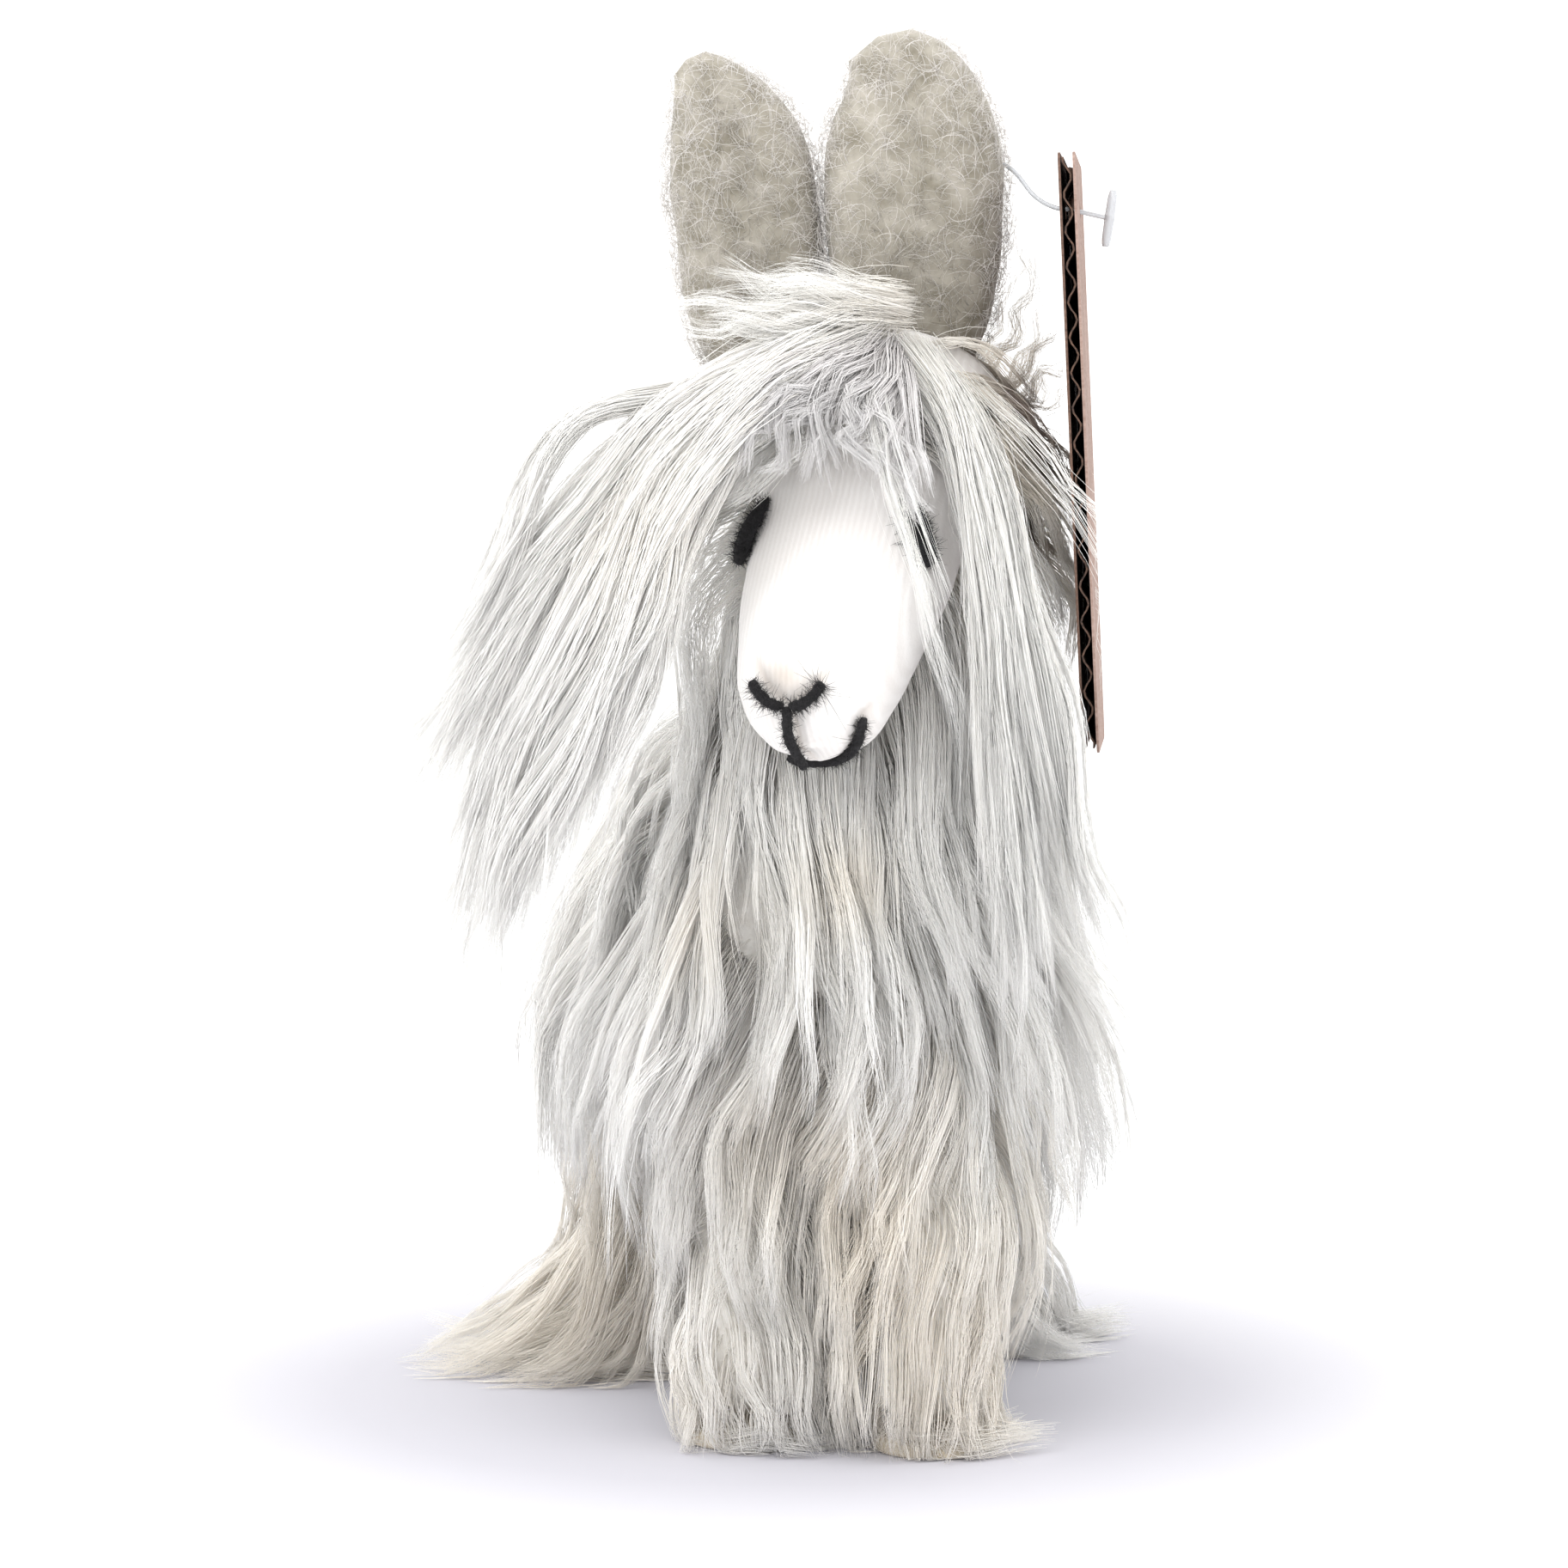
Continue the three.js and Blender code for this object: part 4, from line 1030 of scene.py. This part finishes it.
fan("forelock_fall_fur", FALL, 30, 4400, ["forelock_fall"], keep=13, clump=0.6, wander=3.0, depth=3.0,
    spread=2.2, bias=0.8, waves=(1.6, 44.0), frizz=0.2, crimp=40, cut=(0.65, 1.05), wisp=0.45)
fan("forelock_veil_fur", VEIL, 7, 190, spread=1.4, depth=0.8, keep=13, clump=0.55, wander=1.6,
    waves=(1.2, 26.0), cut=(0.7, 1.05), thick=0.045)
# The fringe is painted darker, most of all at its roots: painted shade.
fan("fringe_fur", FRINGE, 26, 1700, ["fringe"], spread=2.4, depth=1.5, keep=11, clump=0.7,
    wander=1.6, waves=(2.2, 16.0), base=0.12, root=0.5, mat=fringe_shaded_suri)
fan("topknot_fur", TOPKNOT, 30, 1000, spread=3.2, depth=2.5, keep=11, clump=0.4,
    wander=4.0, waves=(2.4, 20.0), base=0.04, root=0.3, thick=0.055, cut=(0.35, 1.0))
fan("stray_curl_fur", STRAYS, 14, 260, spread=2.0, depth=1.5, keep=12, clump=0.3, wander=3.0,
    waves=(2.4, 12.0), frizz=1.2, crimp=9, base=0.1, root=0.4, thick=0.05)
fan("stray_across_fur", ACROSS, 5, 40, spread=2.0, depth=0.8, keep=12, clump=0.2, wander=3.0,
    waves=(1.4, 22.0), frizz=0.6, thick=0.05)


def comb_crown(p):
    """Backwards and down from the parting, and out to both sides."""
    rel = p - HEAD_AT
    side = np.clip((p[:, 0] - 6) / 14, -1, 1)
    return unit(np.stack([side * 0.7, 0.5 + 0.02 * rel[:, 1], -0.2 + 0 * side], -1)) * 0.8


class Crown:
    """The fur side of the head: the skull behind the seam of the face."""

    def sample(self, count, rng):
        n = unit(rng.normal(size=(count * 2, 3)))
        keep = (n[:, 1] > -0.42) & (n[:, 2] > -0.75)
        n = n[keep][:count]
        return from_head(n * SKULL), n @ HEAD_NP[:3, :3].T


coat("crown_fur", Crown(), "head", 6800, 150, (28, 46), comb_crown, [skull, face_form], 8.0, ["crown_pelt"],
     waves=(2.0, 24.0), base=0.06, keep=9)


# ------------------------------------------------------------------ soles
for _name, _leg in LEGS.items():
    _z = np.array([0.05, 0.3, 0.9, 1.8, 2.8, 3.3, 3.6])
    _r = np.array([11.3, 11.8, 12.0, 12.0, 11.9, 11.6, 11.1])
    _rows = [[_leg["x"], _leg["y"], z, r, r] for z, r in zip(_z, _r)]
    _v, _q, _t = loft(_rows, 14, 48, 0.12, seeded("sole" + _name))
    _v[:, 2] = np.clip(_v[:, 2], 0.0, 3.6)
    place(make_object(f"sole_pad_{_name}", _v, [_q, _t], sole_felt), "torso", "sole_felt", [f"sole_{_name}"])


# ------------------------------------------------------------------ swing tag and pin
def board_material(name, dark, light):
    mat, tree, shader = nodes_of(name, 0.85)
    fibres = noise(tree, 500, 6, (1, 1, 3))
    patches = noise(tree, 60, 3)
    base = ramp(tree, fibres, [(0.3, dark), (0.7, light)])
    worn = ramp(tree, patches, [(0.35, (0.82, 0.8, 0.78)), (0.65, (1, 1, 1))])
    tree.links.new(mixed(tree, 1.0, base, worn, "MULTIPLY"), shader.inputs["Base Color"])
    bumped(tree, shader, fibres, 0.4, 0.0004)
    return mat


inner_board = board_material("kraft_inner", (0.07, 0.04, 0.028), (0.19, 0.11, 0.08))
outer_board = board_material("kraft_outer", (0.24, 0.155, 0.125), (0.42, 0.305, 0.265))
# The flutes are kraft darkened almost to black: painted shade in the board's channels.
shaded_flute_board = board_material("kraft_flutes_painted_shade", (0.02, 0.014, 0.012), (0.16, 0.09, 0.06))
for _node, _mat in (("tag_inner_liner", inner_board), ("tag_outer_liner", outer_board),
                    ("tag_flutes", shaded_flute_board)):
    _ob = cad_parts[_node]
    _ob.data.materials.clear()
    _ob.data.materials.append(_mat)

TAG_AT, TAG_TURN, TAG_LEAN = np.array([43.5, -46.0, 239.5]), math.radians(-10), math.radians(-2.6)


def hung(points):
    """Points of an upright tag, hung as the CAD hangs it: leant about its hole, then turned."""
    spin = np.array(Matrix.Rotation(TAG_TURN, 3, "Z") @ Matrix.Rotation(TAG_LEAN, 3, "Y"))
    return (np.asarray(points, float) - TAG_AT) @ spin.T + TAG_AT


PIN_RADIUS, PIN_LEAN = 0.45, math.radians(8)
BAR_RADIUS, BAR_HALF = 0.95, 5.4
PIN_PATH = [(26.2, -40, 250.4), (32.5, -41, 247.5), (36.5, -43.6, 242.4), (40, -45.4, 240.1),
            (43.5, -46, 239.5),
            (50.7, -46.4, 237.9)]
clear, _tree, _shader = nodes_of("clear_nylon", 0.15, IOR=1.53, Transmission_Weight=0.35)
_shader.inputs["Base Color"].default_value = (0.66, 0.68, 0.71, 1)
_v1, _q1, _t1 = tube_arrays(spline(PIN_PATH, 60)[None], np.full((1, 60), PIN_RADIUS), 10)
_s = np.linspace(-1, 1, 25)
_bars, _fat = [], BAR_RADIUS * (1 - 0.35 * np.abs(_s) ** 6) * (1 + 0.12 * np.exp(-(_s / 0.15) ** 2))
for _at, _tilt in ((PIN_PATH[0], 0.0), (PIN_PATH[-1], PIN_LEAN)):
    _axis = np.array([math.sin(_tilt), 0, math.cos(_tilt)])
    _bars.append(np.array(_at) + _axis * _s[:, None] * BAR_HALF)
_v2, _q2, _t2 = tube_arrays(np.stack(_bars), np.stack([_fat, _fat]), 10)
_n1 = len(_v1)
pin = make_object("nylon_pin", np.vstack([_v1, _v2]), [np.vstack([_q1, _q2 + _n1]),
                                                       np.vstack([_t1, _t2 + _n1])], clear)
place(pin, "tag_pin", "clear_nylon", ["tag_pin"])


# a sheet of the near-black flute board halfway through the board closes the channels: painted shade deep
# inside them
_rows = [[TAG_AT[0] + 0.1 * math.sin(z * 1.9), TAG_AT[1], z, 0.62, 0.6]
         for z in np.linspace(138.5, 247.5, 30)]
_v, _q, _t = loft(_rows, 90, 10, 0.05, seeded("crush"))
place(make_object("tag_channel_shade_sheet", hung(_v), [_q, _t], shaded_flute_board), "tag", "kraft_board")


# ------------------------------------------------------------------ floor, light and camera
# The floor is darker and lilac near its middle under the toy, fading to evenly pale by 0.26 m out: a painted
# shadow.
floor_mat, _tree, _shader = nodes_of("studio_floor", 0.9)
_place = add(_tree, "ShaderNodeTexCoord")
_reach = add(_tree, "ShaderNodeVectorMath", operation="LENGTH")
_tree.links.new(_place.outputs["Object"], _reach.inputs[0])
_tree.links.new(ramp(_tree, _reach.outputs["Value"], [(0.09, (0.56, 0.555, 0.605)),
                                                      (0.26, (0.95, 0.95, 0.96))]),
                _shader.inputs["Base Color"])
bpy.ops.mesh.primitive_plane_add(size=16)
floor = bpy.context.object
floor.name = "studio_floor_plane"
floor.data.materials.append(floor_mat)

world = bpy.data.worlds.new("studio")
bpy.context.scene.world = world
world.use_nodes = True
world.node_tree.nodes["Background"].inputs[0].default_value = (1.0, 0.995, 0.985, 1)
world.node_tree.nodes["Background"].inputs[1].default_value = 1.5


def area(name, at, look, size, power, colour=(1, 1, 1)):
    data = bpy.data.lights.new(name, "AREA")
    data.size = size
    data.energy = power
    data.color = colour
    ob = bpy.data.objects.new(name, data)
    bpy.context.scene.collection.objects.link(ob)
    ob.location = at
    ob.rotation_euler = (Vector(look) - Vector(at)).to_track_quat("-Z", "Y").to_euler()


area("key", (-0.5, -0.9, 1.1), (0, 0, 0.12), 0.9, 8)
area("fill", (0.9, -0.5, 0.6), (0, 0, 0.12), 0.9, 2, (0.95, 0.97, 1.0))

AZIMUTH, ELEVATION, DISTANCE, LENS = -5.0, 4.0, 0.900, 107.6
TARGET = Vector((np.array([-11.5, -44.0, 129.8]) + SHIFT) * MM)
_az, _el = math.radians(AZIMUTH), math.radians(ELEVATION)
camera = bpy.data.objects.new("camera", bpy.data.cameras.new("camera"))
bpy.context.scene.collection.objects.link(camera)
camera.data.lens = LENS
camera.data.sensor_width = 36
camera.location = TARGET + DISTANCE * Vector((math.sin(_az) * math.cos(_el), -math.cos(_az) * math.cos(_el),
                                              math.sin(_el)))
camera.rotation_euler = (TARGET - camera.location).to_track_quat("-Z", "Y").to_euler()
bpy.context.scene.camera = camera
bpy.context.scene.view_settings.view_transform = "Standard"
